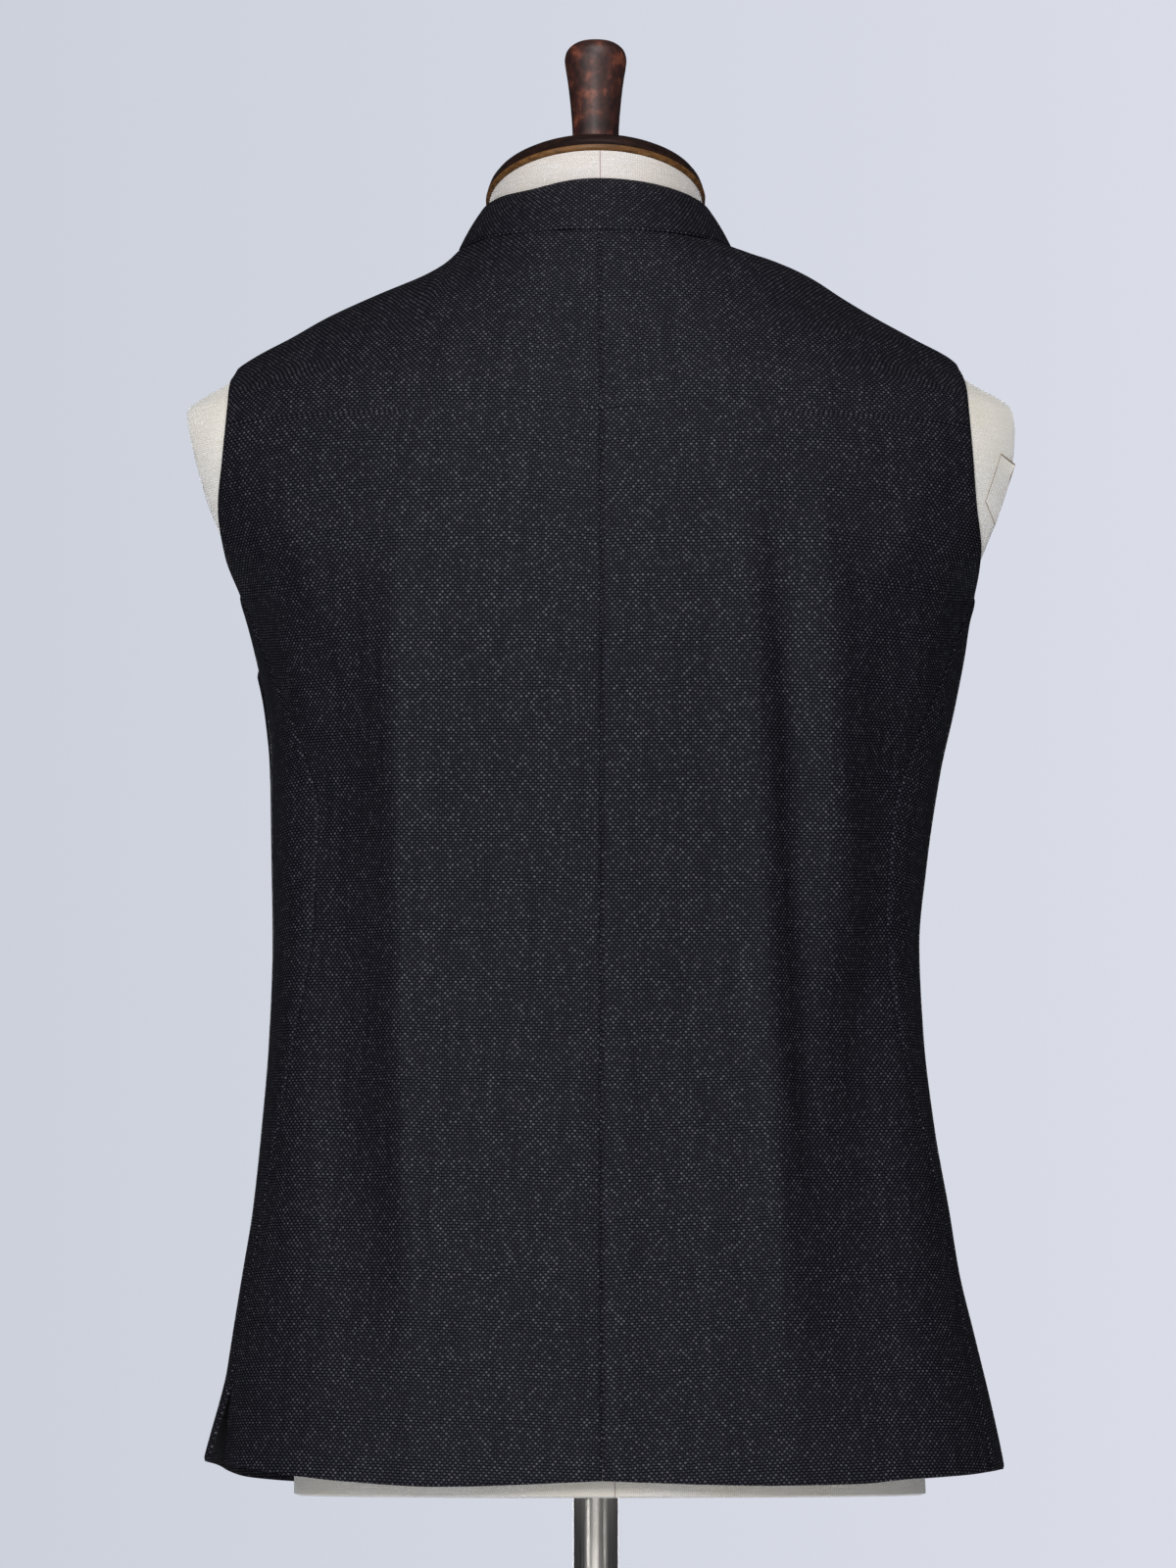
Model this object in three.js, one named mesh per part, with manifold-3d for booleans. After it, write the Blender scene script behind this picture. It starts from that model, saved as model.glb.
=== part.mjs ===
// A black stand-collar waistcoat worn on a linen-covered dress form with a wooden neck cap and a steel stand.
// Millimetres, +Z up. The origin is on the floor, on the axis of the pole. The waistcoat faces -Y,
// and the wearer's left is +X, so "left" pieces lie at +X.
import * as THREE from "three";
import { mergeVertices } from "three/addons/utils/BufferGeometryUtils.js";
import Module from "manifold-3d";

const wasm = await Module();
wasm.setup();

const CLOTH = 2.0; // cloth, interlining and lining pressed together
const SEAM_GAP = 0.3; // between two panels that are sewn together
const HALF_GAP = SEAM_GAP / 2;
const LEFT = 1;
const RIGHT = -1;

// Heights of the cut
const SHOULDER_NECK_Z = 1549; // where the shoulder seam meets the collar
const NECK_BACK_Z = 1547.5;
const NECK_FRONT_Z = 1474;
const NECK_HALF_WIDTH = 80;
const NECK_BACK_Y = 82;
const YOKE_Z = 1440; // above this the rows of the back panels bend towards the shoulder
const CHEST_Z = 1330; // above this the fronts are cut away for the arm
const UNDERARM_Z = 1345; // top of the side seam
const ARMHOLE_LOW_Z = 1302; // lowest point of the armhole, just in front of the side
const VENT_TOP_Z = 913;
const SHOULDER_TIP = { [LEFT]: 206, [RIGHT]: 208 };

// Front closure: the wearer's left front laps over the right one.
const LAP = 20;
const LAP_STEP = CLOTH + 0.5;
const LAP_RAMP = [24, 62]; // distances from the centre front between which the right front comes back up
const BUTTON_HEIGHTS = [1450, 1357, 1264, 1171, 1078];
const BUTTON_RADIUS = 10;
const BUTTON_THICKNESS = 4.2;

// Horizontal sections of the waistcoat's outer face. left and right are half widths, back and front are
// depths from the pole's axis, widest is the y of the widest point, and square_* is the exponent of the
// superellipse: 2 is an ellipse and more is boxier.
const SECTIONS = [
  { z: 840, left: 213, right: 229, back: 136, front: 131, widest: 24, square_back: 2.3, square_front: 2.2 },
  { z: 865, left: 210.5, right: 225, back: 134, front: 129, widest: 23, square_back: 2.3, square_front: 2.2 },
  { z: 900, left: 207.5, right: 218, back: 131, front: 127, widest: 21, square_back: 2.3, square_front: 2.2 },
  { z: 933, left: 202.8, right: 210.5, back: 128.5, front: 125, widest: 19, square_back: 2.3, square_front: 2.2 },
  { z: 966, left: 197.5, right: 203, back: 126, front: 123.5, widest: 17, square_back: 2.35, square_front: 2.2 },
  { z: 1000, left: 192.3, right: 198, back: 123.5, front: 122, widest: 15, square_back: 2.4, square_front: 2.2 },
  { z: 1048, left: 188, right: 190.4, back: 120.5, front: 120.5, widest: 12, square_back: 2.4, square_front: 2.2 },
  { z: 1098, left: 184.7, right: 185.2, back: 119, front: 120, widest: 10, square_back: 2.4, square_front: 2.2 },
  { z: 1148, left: 183.3, right: 183.4, back: 119.5, front: 122, widest: 8, square_back: 2.4, square_front: 2.2 },
  { z: 1199, left: 184.2, right: 188.2, back: 122, front: 126, widest: 6, square_back: 2.4, square_front: 2.2 },
  { z: 1249, left: 185.2, right: 196, back: 126, front: 129.5, widest: 4, square_back: 2.4, square_front: 2.2 },
  { z: 1283, left: 188.4, right: 203.8, back: 128.5, front: 130, widest: 3, square_back: 2.4, square_front: 2.2 },
  { z: 1317, left: 196, right: 211, back: 130, front: 128, widest: 2, square_back: 2.35, square_front: 2.2 },
  { z: 1334, left: 201.5, right: 216, back: 130, front: 126, widest: 2, square_back: 2.35, square_front: 2.2 },
  { z: 1345, left: 207, right: 222, back: 129.8, front: 124, widest: 2, square_back: 2.3, square_front: 2.2 },
  { z: 1362, left: 217, right: 232, back: 129.2, front: 121, widest: 2, square_back: 2.3, square_front: 2.2 },
  { z: 1380, left: 225.5, right: 239, back: 128.2, front: 117, widest: 2, square_back: 2.25, square_front: 2.2 },
  { z: 1400, left: 233, right: 244, back: 126.5, front: 112, widest: 1, square_back: 2.2, square_front: 2.2 },
  { z: 1422, left: 239, right: 249, back: 123.5, front: 104.5, widest: 1, square_back: 2.15, square_front: 2.15 },
  { z: 1440, left: 242, right: 251, back: 120, front: 98, widest: 0, square_back: 2.05, square_front: 2.1 },
  { z: 1456, left: 239, right: 248, back: 116, front: 91, widest: 0, square_back: 1.95, square_front: 2.05 },
  { z: 1465, left: 229, right: 238, back: 113.5, front: 86.5, widest: 0, square_back: 1.9, square_front: 2 },
  { z: 1474, left: 214, right: 222, back: 111, front: 82, widest: 0, square_back: 1.85, square_front: 2 },
  { z: 1481, left: 206, right: 212, back: 108.5, front: 78.5, widest: 0, square_back: 1.8, square_front: 2 },
  { z: 1487, left: 197, right: 206, back: 106.5, front: 75.5, widest: 0, square_back: 1.8, square_front: 2 },
  { z: 1498, left: 177, right: 186.5, back: 102.5, front: 69.5, widest: 0, square_back: 1.75, square_front: 2 },
  { z: 1510, left: 154, right: 164.5, back: 98, front: 63.5, widest: 0, square_back: 1.75, square_front: 2 },
  { z: 1521, left: 130.5, right: 145.5, back: 93.5, front: 57.5, widest: 0, square_back: 1.8, square_front: 2 },
  { z: 1533, left: 105.5, right: 126, back: 88.5, front: 52.5, widest: 0, square_back: 1.85, square_front: 2 },
  { z: 1541, left: 90, right: 106, back: 85, front: 50, widest: 0, square_back: 1.95, square_front: 2 },
  { z: 1549, left: 80, right: 80, back: 82, front: 48, widest: 0, square_back: 2, square_front: 2 },
  { z: 1556, left: 73, right: 73, back: 79, front: 47, widest: 0, square_back: 2, square_front: 2 },
];

// Where the back panels end at the side: the side seam and its vent up to the underarm, then the armhole.
const BACK_EDGE = [
  { z: 840, left: 208.5, right: 219 },
  { z: 862, left: 206.7, right: 216 },
  { z: 913, left: 201.5, right: 207 },
  { z: 1000, left: 186, right: 191 },
  { z: 1098, left: 170, right: 172 },
  { z: 1165, left: 162, right: 166 },
  { z: 1215, left: 162, right: 169 },
  { z: 1260, left: 172, right: 182 },
  { z: 1300, left: 184, right: 196 },
  { z: 1334, left: 195.5, right: 209 },
  { z: 1345, left: 200.5, right: 214 },
  { z: 1367, left: 210.5, right: 217.4 },
  { z: 1390, left: 215, right: 218.5 },
  { z: 1419, left: 214, right: 216 },
  { z: 1453, left: 211.5, right: 213.5 },
  { z: 1470, left: 210.5, right: 212 },
  { z: 1481, left: 206, right: 209.5 },
  { z: 1487, left: 206, right: 208 },
];

// The front edge of the armhole, from the chest row up to the shoulder.
const FRONT_EDGE = [
  { z: 1320, left: 187, right: 196 },
  { z: 1345, left: 182, right: 189 },
  { z: 1365, left: 179, right: 184 },
  { z: 1400, left: 178, right: 182 },
  { z: 1435, left: 183, right: 187 },
  { z: 1462, left: 193, right: 197 },
  { z: 1481, left: 206, right: 208 },
  { z: 1487, left: 206, right: 208 },
];

// Height of the hem against the distance from the centre seam or the closure, as a share of the panel.
const BACK_HEM = [
  { share: 0, left: 852.3, right: 852.3 },
  { share: 0.38, left: 849.3, right: 847.5 },
  { share: 0.7, left: 854.1, right: 854 },
  { share: 0.85, left: 857.8, right: 856 },
  { share: 1, left: 861.4, right: 857 },
];
const FRONT_HEM = [
  { share: 0, left: 846.5, right: 846.5 },
  { share: 0.5, left: 846.5, right: 846.5 },
  { share: 0.84, left: 850.5, right: 850 },
  { share: 0.93, left: 854, right: 852.5 },
  { share: 1, left: 861.4, right: 857 },
];

// The cloth's largest folds, each a soft ridge (lift above 0) or trough (below 0) that runs down the panel
// from (top_x, top_z) to (low_x, low_z). face is the back (1) or front (-1) of the body.
const FOLDS = [
  { face: 1, top_x: 116, top_z: 1370, low_x: 104, low_z: 930, half_width: 13, lift: 3.2 },
  { face: 1, top_x: 158, top_z: 1330, low_x: 142, low_z: 960, half_width: 20, lift: -4.5 },
  { face: 1, top_x: -80, top_z: 1380, low_x: -98, low_z: 950, half_width: 12, lift: 3.0 },
  { face: 1, top_x: -99, top_z: 1370, low_x: -118, low_z: 1000, half_width: 11, lift: -3.4 },
  { face: 1, top_x: -124, top_z: 1390, low_x: -136, low_z: 1120, half_width: 13, lift: 3.2 },
  { face: 1, top_x: -168, top_z: 1340, low_x: -154, low_z: 1010, half_width: 18, lift: -4.5 },
  { face: 1, top_x: 12, top_z: 1120, low_x: 12, low_z: 880, half_width: 7, lift: 1.0 },
  { face: 1, top_x: -12, top_z: 1120, low_x: -12, low_z: 880, half_width: 7, lift: 1.0 },
  { face: -1, top_x: 112, top_z: 1280, low_x: 120, low_z: 900, half_width: 22, lift: 3.0 },
  { face: -1, top_x: -116, top_z: 1270, low_x: -126, low_z: 880, half_width: 22, lift: 3.2 },
  { face: -1, top_x: 152, top_z: 1290, low_x: 156, low_z: 960, half_width: 16, lift: -3.0 },
  { face: -1, top_x: -158, top_z: 1290, low_x: -160, low_z: 960, half_width: 16, lift: -3.0 },
];

// The vent edge of the fronts stands out from the back panel's edge, on the wearer's left only.
const VENT_SPLAY = { [LEFT]: 12.5, [RIGHT]: 0.6 };
const VENT_SPLAY_WIDTH = 55;
// The facing's reach over the rows and columns of the front.
const VENT_LINING = { thickness: 0.8, gap: 0.95, columns: 7, edge: 0.25, rows: [0.2, 0.6, 1, 1.5, 1.85] };

// Rings round the neck. The bottom ring is the collar seam and the top ring the collar's upper edge.
const COLLAR_SEAM = {
  half_width: NECK_HALF_WIDTH,
  back: NECK_BACK_Y,
  front: 82,
  z_back: NECK_BACK_Z,
  z_side: SHOULDER_NECK_Z,
  z_front: NECK_FRONT_Z,
};
const COLLAR_TOP = { half_width: 64.6, back: 61.6, front: 64.5, z_back: 1581.5, z_side: 1576, z_front: 1511 };
const COLLAR_LIFT = 0.8; // keeps the collar's lower edge clear of the panels
const COLLAR_END = 2.2; // half of the opening between the collar's ends
const COLLAR_BULGE = 0.8; // the collar is a little round across its height
const COLLAR_DIP = { angle: 0.62, half_angle: 0.32, depth: 3.2 }; // where the upper edge sags at the back

// Dress form
const FORM_BOTTOM_Z = 840;
const FORM_INSET = [
  { z: 840, side_left: 41, side_right: 43, back: 22, front: 22 },
  { z: 950, side_left: 33, side_right: 33, back: 20, front: 20 },
  { z: 1050, side_left: 25, side_right: 25, back: 15, front: 17 },
  { z: 1150, side_left: 17, side_right: 17, back: 12, front: 14 },
  { z: 1250, side_left: 9, side_right: 10, back: 8.5, front: 10 },
  { z: 1320, side_left: 5.4, side_right: 6.4, back: 5.2, front: 7.5 },
  { z: 1362, side_left: 4, side_right: 4.4, back: 3.8, front: 6.2 },
  { z: 1400, side_left: 3, side_right: 3, back: 3.2, front: 5.6 },
  { z: 1480, side_left: 3, side_right: 3, back: 3, front: 5.5 },
  { z: 1500, side_left: 4.2, side_right: 4.5, back: 3.4, front: 6 },
  { z: 1521, side_left: 4.2, side_right: 4.2, back: 4.2, front: 6.4 },
  { z: 1541, side_left: 5.4, side_right: 5.8, back: 5.4, front: 7.6 },
  { z: 1556, side_left: 5.8, side_right: 5.8, back: 5.8, front: 8 },
];
// Flat arm plates: the form's side is cut by a slanted plane through these two points.
const ARM_PLATE = { top_z: 1456, low_z: 1362, [LEFT]: [233.5, 209.5], [RIGHT]: [240.5, 221] };
const NECK_INSET = { back: 3.6, front: 6.2 }; // from the collar's outer face to the neck of the form
const NECK_ROOT = { half_width: 62, back: 66, front: 62, z_back: 1498, z_side: 1480, z_front: 1432 };
const NECK_TOP = { half_width: 61.4, back: 58.6, front: 61, z_back: 1588, z_side: 1571, z_front: 1544 };
const CAP_TILT = THREE.MathUtils.degToRad(18);
const CAP_RADIUS = 63.2;
const CAP_THICKNESS = 8.6;
const CAP_CENTRE = new THREE.Vector3(0, 0, 1577.2); // middle of the cap's underside
const FINIAL_SEAT_Z = 1583.8;
const FINIAL_SEAT_RADIUS = 13;
const FINIAL_PROFILE = [
  [0, 1584.1], [12, 1584.1], [12.4, 1590], [13.2, 1604], [13.35, 1620], [14.4, 1636], [16.2, 1652], [17.5, 1660],
  [17.9, 1664], [17, 1668.5], [14, 1672.3], [9.5, 1674.5], [0, 1675.2],
];
const POLE_RADIUS = 12.6;
const POLE_INTO_FORM = 60;
const SOCKET_RADIUS = 12.95;
const BASE_RADIUS = 170;
const BASE_THICKNESS = 8;
const BASE_HUB = { radius: 22, height: 22 };

const { sin, cos, abs, sqrt, pow, asin, PI, min, max, sign } = Math;
const lerp = THREE.MathUtils.lerp;
const smoothstep = THREE.MathUtils.smoothstep;

// A smooth curve through one column of a table: cubic, with slopes that never overshoot its rows.
function column(table, key, name) {
  const xs = table.map((row) => row[key]);
  const ys = table.map((row) => row[name]);
  const slopes = xs.slice(1).map((x, i) => (ys[i + 1] - ys[i]) / (x - xs[i]));
  const tangents = ys.map((_, i) => {
    if (i === 0) return slopes[0];
    if (i === ys.length - 1) return slopes[i - 1];
    const [a, b] = [slopes[i - 1], slopes[i]];
    return a * b <= 0 ? 0 : (2 * a * b) / (a + b);
  });
  return (x) => {
    if (x <= xs[0]) return ys[0] + (x - xs[0]) * tangents[0];
    if (x >= xs.at(-1)) return ys.at(-1) + (x - xs.at(-1)) * tangents.at(-1);
    const i = xs.findIndex((limit) => x < limit) - 1;
    const h = xs[i + 1] - xs[i];
    const t = (x - xs[i]) / h;
    return (
      ys[i] * (1 + 2 * t) * (1 - t) ** 2 + h * tangents[i] * t * (1 - t) ** 2 +
      ys[i + 1] * t * t * (3 - 2 * t) + h * tangents[i + 1] * t * t * (t - 1)
    );
  };
}

const section = Object.fromEntries(
  Object.keys(SECTIONS[0]).filter((name) => name !== "z").map((name) => [name, column(SECTIONS, "z", name)]),
);
const bySide = (table, key) => ({ [LEFT]: column(table, key, "left"), [RIGHT]: column(table, key, "right") });
const halfWidth = { [LEFT]: section.left, [RIGHT]: section.right };
const backEdge = bySide(BACK_EDGE, "z");
const frontEdge = bySide(FRONT_EDGE, "z");
const backHem = bySide(BACK_HEM, "share");
const frontHem = bySide(FRONT_HEM, "share");

// A point of the section at height z. turn runs from 0 at the centre back to PI at the centre front.
function ringPoint(side, turn, z) {
  const square = cos(turn) >= 0 ? section.square_back(z) : section.square_front(z);
  const widest = section.widest(z);
  const depth = cos(turn) >= 0 ? section.back(z) - widest : -(section.front(z) + widest);
  return new THREE.Vector3(
    side * halfWidth[side](z) * sign(sin(turn)) * pow(abs(sin(turn)), 2 / square),
    widest + depth * pow(abs(cos(turn)), 2 / square),
    z,
  );
}

function ringNormal(side, turn, z) {
  const step = 0.02;
  const along = ringPoint(side, turn + step, z).sub(ringPoint(side, turn - step, z));
  const up = ringPoint(side, turn, z + 2).sub(ringPoint(side, turn, z - 2));
  return along.cross(up).multiplyScalar(-side).normalize();
}

// The turn at which the section at height z is x wide, on its back or its front.
function turnAt(side, x, z, isBack) {
  const square = isBack ? section.square_back(z) : section.square_front(z);
  const share = min(abs(x) / halfWidth[side](z), 1);
  const turn = asin(pow(share, square / 2));
  return isBack ? turn : PI - turn;
}

// Distances along the half section from the centre back, and the way back from a distance to a turn.
const ARC_STEPS = 160;
const arcCache = new Map();
function arcs(side, z) {
  const name = `${side} ${z.toFixed(2)}`;
  if (!arcCache.has(name)) {
    const lengths = [0];
    let last = ringPoint(side, 0, z);
    for (let i = 1; i <= ARC_STEPS; i++) {
      const next = ringPoint(side, (PI * i) / ARC_STEPS, z);
      lengths.push(lengths.at(-1) + next.distanceTo(last));
      last = next;
    }
    arcCache.set(name, lengths);
  }
  return arcCache.get(name);
}
function arcOf(side, turn, z) {
  const lengths = arcs(side, z);
  const place = min((turn / PI) * ARC_STEPS, ARC_STEPS - 1e-9);
  const i = Math.floor(place);
  return lerp(lengths[i], lengths[i + 1], place - i);
}
function turnOf(side, arc, z) {
  const lengths = arcs(side, z);
  const i = max(1, lengths.findIndex((length) => length >= min(arc, lengths.at(-1))));
  return (PI * (i - 1 + (arc - lengths[i - 1]) / (lengths[i] - lengths[i - 1]))) / ARC_STEPS;
}

// Height of the shoulder line where the section is x wide.
function ridgeHeight(side, x) {
  let [low, high] = [1474, SHOULDER_NECK_Z];
  for (let i = 0; i < 40; i++) {
    const middle = (low + high) / 2;
    if (halfWidth[side](middle) > x) low = middle;
    else high = middle;
  }
  return (low + high) / 2;
}

function foldLift(point) {
  const face = point.y >= section.widest(point.z) ? 1 : -1;
  let lift = 0;
  for (const fold of FOLDS) {
    if (fold.face !== face) continue;
    const down = (fold.top_z - point.z) / (fold.top_z - fold.low_z);
    const fade = smoothstep(down, -0.12, 0.2) * (1 - smoothstep(down, 0.75, 1.12));
    const across = (point.x - lerp(fold.top_x, fold.low_x, down)) / fold.half_width;
    lift += fold.lift * fade * Math.exp(-across * across);
  }
  return lift;
}

// A skin is a set of points with their outward normals, and quads between them.
class Skin {
  constructor() {
    this.points = [];
    this.normals = [];
    this.quads = [];
    this.rows = [];
  }
  add(point, normal) {
    this.points.push(point);
    this.normals.push(normal);
    return this.points.length - 1;
  }
  // Adds a row of point indices, joined to the row below it with quads.
  addRow(row) {
    const lower = this.rows.at(-1);
    this.rows.push(row);
    if (!lower) return;
    for (let i = 0; i + 1 < row.length; i++) this.quads.push([lower[i], lower[i + 1], row[i + 1], row[i]]);
  }
}

// A closed wall of even thickness under a skin. flip turns the faces of a mirrored skin outwards.
function wall(skin, thickness, flip) {
  const count = skin.points.length;
  const positions = [];
  for (const point of skin.points) positions.push(point.x, point.y, point.z);
  skin.points.forEach((point, i) => {
    const inner = point.clone().addScaledVector(skin.normals[i], -thickness);
    positions.push(inner.x, inner.y, inner.z);
  });
  const triangles = [];
  const edges = new Map();
  const face = (a, b, c) => triangles.push(...(flip ? [a, c, b] : [a, b, c]));
  for (const quad of skin.quads) {
    const [a, b, c, d] = quad;
    face(a, b, c);
    face(a, c, d);
    face(a + count, c + count, b + count);
    face(a + count, d + count, c + count);
    quad.forEach((from, i) => {
      const to = quad[(i + 1) % 4];
      if (edges.has(`${to} ${from}`)) edges.delete(`${to} ${from}`);
      else edges.set(`${from} ${to}`, [from, to]);
    });
  }
  for (const [from, to] of edges.values()) {
    face(from, from + count, to + count);
    face(from, to + count, to);
  }
  const geometry = new THREE.BufferGeometry();
  geometry.setAttribute("position", new THREE.Float32BufferAttribute(positions, 3));
  geometry.setIndex(triangles);
  return geometry;
}

// Puts the point of a panel on the garment's outer face, with its folds.
function placeOnBody(skin, side, turn, z, extra = 0, mirrorX = false) {
  const point = ringPoint(side, turn, z);
  const normal = ringNormal(side, turn, z);
  if (mirrorX) {
    point.x = -point.x;
    normal.x = -normal.x;
  }
  point.addScaledVector(normal, foldLift(point) + extra);
  return skin.add(point, normal);
}

// The neckline and the shoulder seam as one line. share runs from 0 at the centre to 1 at the shoulder tip,
// and the neckline takes the first neckShare of it.
function topLine(side, share, neckShare, isBack) {
  if (share < neckShare) {
    const angle = (PI / 2) * (share / neckShare);
    const drop = (isBack ? NECK_BACK_Z : NECK_FRONT_Z) - SHOULDER_NECK_Z;
    return { x: NECK_HALF_WIDTH * sin(angle), z: SHOULDER_NECK_Z + drop * cos(angle) ** 2 };
  }
  const x = lerp(NECK_HALF_WIDTH, SHOULDER_TIP[side], (share - neckShare) / (1 - neckShare));
  return { x, z: ridgeHeight(side, x) };
}

const BACK_COLUMNS = 17;
const SEAM_ROWS = 16; // rows up the side seam, the same on the back and the front
const BLADE_ROWS = 4; // from the underarm up to the yoke
const BACK_YOKE_ROWS = 10;
const NECK_STATIONS = 7; // panel points along each quarter of the neckline
const BACK_NECK_SHARE = NECK_STATIONS / BACK_COLUMNS;

function backPanel(side) {
  const skin = new Skin();
  const shares = Array.from({ length: BACK_COLUMNS + 1 }, (_, i) => i / BACK_COLUMNS);
  const placeAlong = (share, z) => {
    const end = arcOf(side, turnAt(side, backEdge[side](z), z, true), z) - HALF_GAP;
    return turnOf(side, lerp(HALF_GAP, end, share), z);
  };
  for (let row = 0; row <= SEAM_ROWS + BLADE_ROWS; row++) {
    const line = shares.map((share) => {
      const z =
        row <= SEAM_ROWS
          ? lerp(backHem[side](share), UNDERARM_Z, row / SEAM_ROWS)
          : lerp(UNDERARM_Z, YOKE_Z, (row - SEAM_ROWS) / BLADE_ROWS);
      return placeOnBody(skin, side, placeAlong(share, z), z);
    });
    skin.addRow(line);
  }
  const yokeX = shares.map((share) => abs(ringPoint(side, placeAlong(share, YOKE_Z), YOKE_Z).x));
  for (let row = BACK_YOKE_ROWS - 1; row >= 0; row--) {
    const down = row / BACK_YOKE_ROWS;
    const line = shares.map((share, i) => {
      const top = topLine(side, share, BACK_NECK_SHARE, true);
      const z = lerp(top.z, YOKE_Z, down ** lerp(1, 2, smoothstep(share, 0.04, 0.34)));
      const toEdge = share ** 6 * (backEdge[side](z) - lerp(top.x, yokeX.at(-1), down));
      const x = max(HALF_GAP, lerp(top.x, yokeX[i], down) + toEdge * (row === 0 ? 0 : 1));
      const onRidge = row === 0 && share >= BACK_NECK_SHARE;
      const turn = onRidge ? PI / 2 - HALF_GAP / section.back(z) : turnAt(side, x, z, true);
      return placeOnBody(skin, side, min(turn, PI / 2 - HALF_GAP / section.back(z)), z);
    });
    skin.addRow(line);
  }
  return wall(skin, CLOTH, side === LEFT);
}

const FRONT_COLUMNS = 22;
const FRONT_YOKE_ROWS = 10;
const FRONT_CHEST_COLUMNS = 15;

// How far a front's surface is moved out at a point: the right front dips under the lap of the left one,
// and near the hem its side edge stands away from the back at the vent.
function frontExtra(side, fromCentre, toSeam, z) {
  const under = side === RIGHT ? -LAP_STEP * (1 - smoothstep(fromCentre, ...LAP_RAMP)) : 0;
  const open = (1 - smoothstep(z, FRONT_HEM[0].left, VENT_TOP_Z)) ** 0.8;
  return under + VENT_SPLAY[side] * open * (1 - smoothstep(toSeam, 0, VENT_SPLAY_WIDTH));
}

function frontPlace(skin, side, arcFromFront, z) {
  const total = arcOf(side, PI, z);
  const seam = total - arcOf(side, turnAt(side, backEdge[side](z), z, true), z);
  const extra = frontExtra(side, arcFromFront, seam - arcFromFront, z);
  return placeOnBody(skin, side, turnOf(side, total - abs(arcFromFront), z), z, extra, arcFromFront < 0);
}

// Height of the armhole's bottom curve: share runs from 0 at the chest row's end to 1 at the side seam.
function underarmHeight(share) {
  const dip = share < 0.5 ? smoothstep(share, 0, 0.5) : 1 - smoothstep(share, 0.5, 1);
  return lerp(lerp(CHEST_Z, UNDERARM_Z, smoothstep(share, 0.3, 1)), ARMHOLE_LOW_Z, dip);
}

function frontPanel(side) {
  const skin = new Skin();
  const chestShare = FRONT_CHEST_COLUMNS / FRONT_COLUMNS;
  const arcAt = (share, z) => {
    const total = arcOf(side, PI, z);
    const seam = total - arcOf(side, turnAt(side, backEdge[side](z), z, true), z) - HALF_GAP;
    const chest = total - arcOf(side, turnAt(side, frontEdge[side](CHEST_Z), CHEST_Z, false), CHEST_Z);
    const middle = lerp(seam * chestShare, chest, smoothstep(z, 900, CHEST_Z));
    return share <= chestShare
      ? lerp(-LAP, middle, share / chestShare)
      : lerp(middle, seam, (share - chestShare) / (1 - chestShare));
  };
  for (let row = 0; row <= SEAM_ROWS; row++) {
    const line = [];
    for (let i = 0; i <= FRONT_COLUMNS; i++) {
      const share = i / FRONT_COLUMNS;
      const top = i <= FRONT_CHEST_COLUMNS ? CHEST_Z : underarmHeight((share - chestShare) / (1 - chestShare));
      const z = lerp(frontHem[side](share), top, row / SEAM_ROWS);
      line.push(frontPlace(skin, side, arcAt(share, z), z));
    }
    skin.addRow(line);
  }
  const chestRow = skin.rows.at(-1).slice(0, FRONT_CHEST_COLUMNS + 1);
  const chestX = chestRow.map((index) => side * skin.points[index].x);
  const neckShare = NECK_STATIONS / (FRONT_CHEST_COLUMNS - 1);
  for (let row = 1; row <= FRONT_YOKE_ROWS; row++) {
    const up = row / FRONT_YOKE_ROWS;
    const line = chestX.map((low, i) => {
      // The first column is the lap past the centre front, level with the neckline there.
      const share = max(0, (i - 1) / (FRONT_CHEST_COLUMNS - 1));
      const top = i === 0 ? { x: -LAP, z: NECK_FRONT_Z + 1.5 } : topLine(side, share, neckShare, false);
      const bend = smoothstep(share, 0.06, neckShare);
      const z = lerp(CHEST_Z, top.z, 1 - (1 - up) ** lerp(1, 2, bend));
      const edge = share ** 6 * (frontEdge[side](z) - lerp(chestX.at(-1), top.x, up));
      const x = lerp(low, top.x, up) + (row === FRONT_YOKE_ROWS ? 0 : edge);
      const onRidge = row === FRONT_YOKE_ROWS && share >= neckShare;
      const limit = PI / 2 + HALF_GAP / section.front(z);
      const turn = onRidge ? limit : max(limit, turnAt(side, x, z, false));
      return placeOnBody(skin, side, turn, z, frontExtra(side, x, VENT_SPLAY_WIDTH, z), x < 0);
    });
    skin.addRow(line);
  }
  return skin;
}

// A satin facing inside each front along the vent and the hem: the front's own points, moved in.
function ventLining(front, side) {
  const skin = new Skin();
  for (const place of VENT_LINING.rows) {
    const [low, share] = [Math.floor(place), place - Math.floor(place)];
    const line = [];
    for (let i = 0; i <= VENT_LINING.columns; i++) {
      const column = FRONT_COLUMNS - (i === 0 ? VENT_LINING.edge : i);
      const [from, across] = [Math.floor(column), column - Math.floor(column)];
      const at = (list, r, c) => list[front.rows[r][min(c, FRONT_COLUMNS)]];
      const blend = (list) => {
        const lower = at(list, low, from).clone().lerp(at(list, low, from + 1), across);
        return lower.lerp(at(list, low + 1, from).clone().lerp(at(list, low + 1, from + 1), across), share);
      };
      const normal = blend(front.normals).normalize();
      line.push(skin.add(blend(front.points).addScaledVector(normal, -(CLOTH + VENT_LINING.gap)), normal));
    }
    skin.addRow(line);
  }
  return wall(skin, VENT_LINING.thickness, side === LEFT);
}

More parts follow.
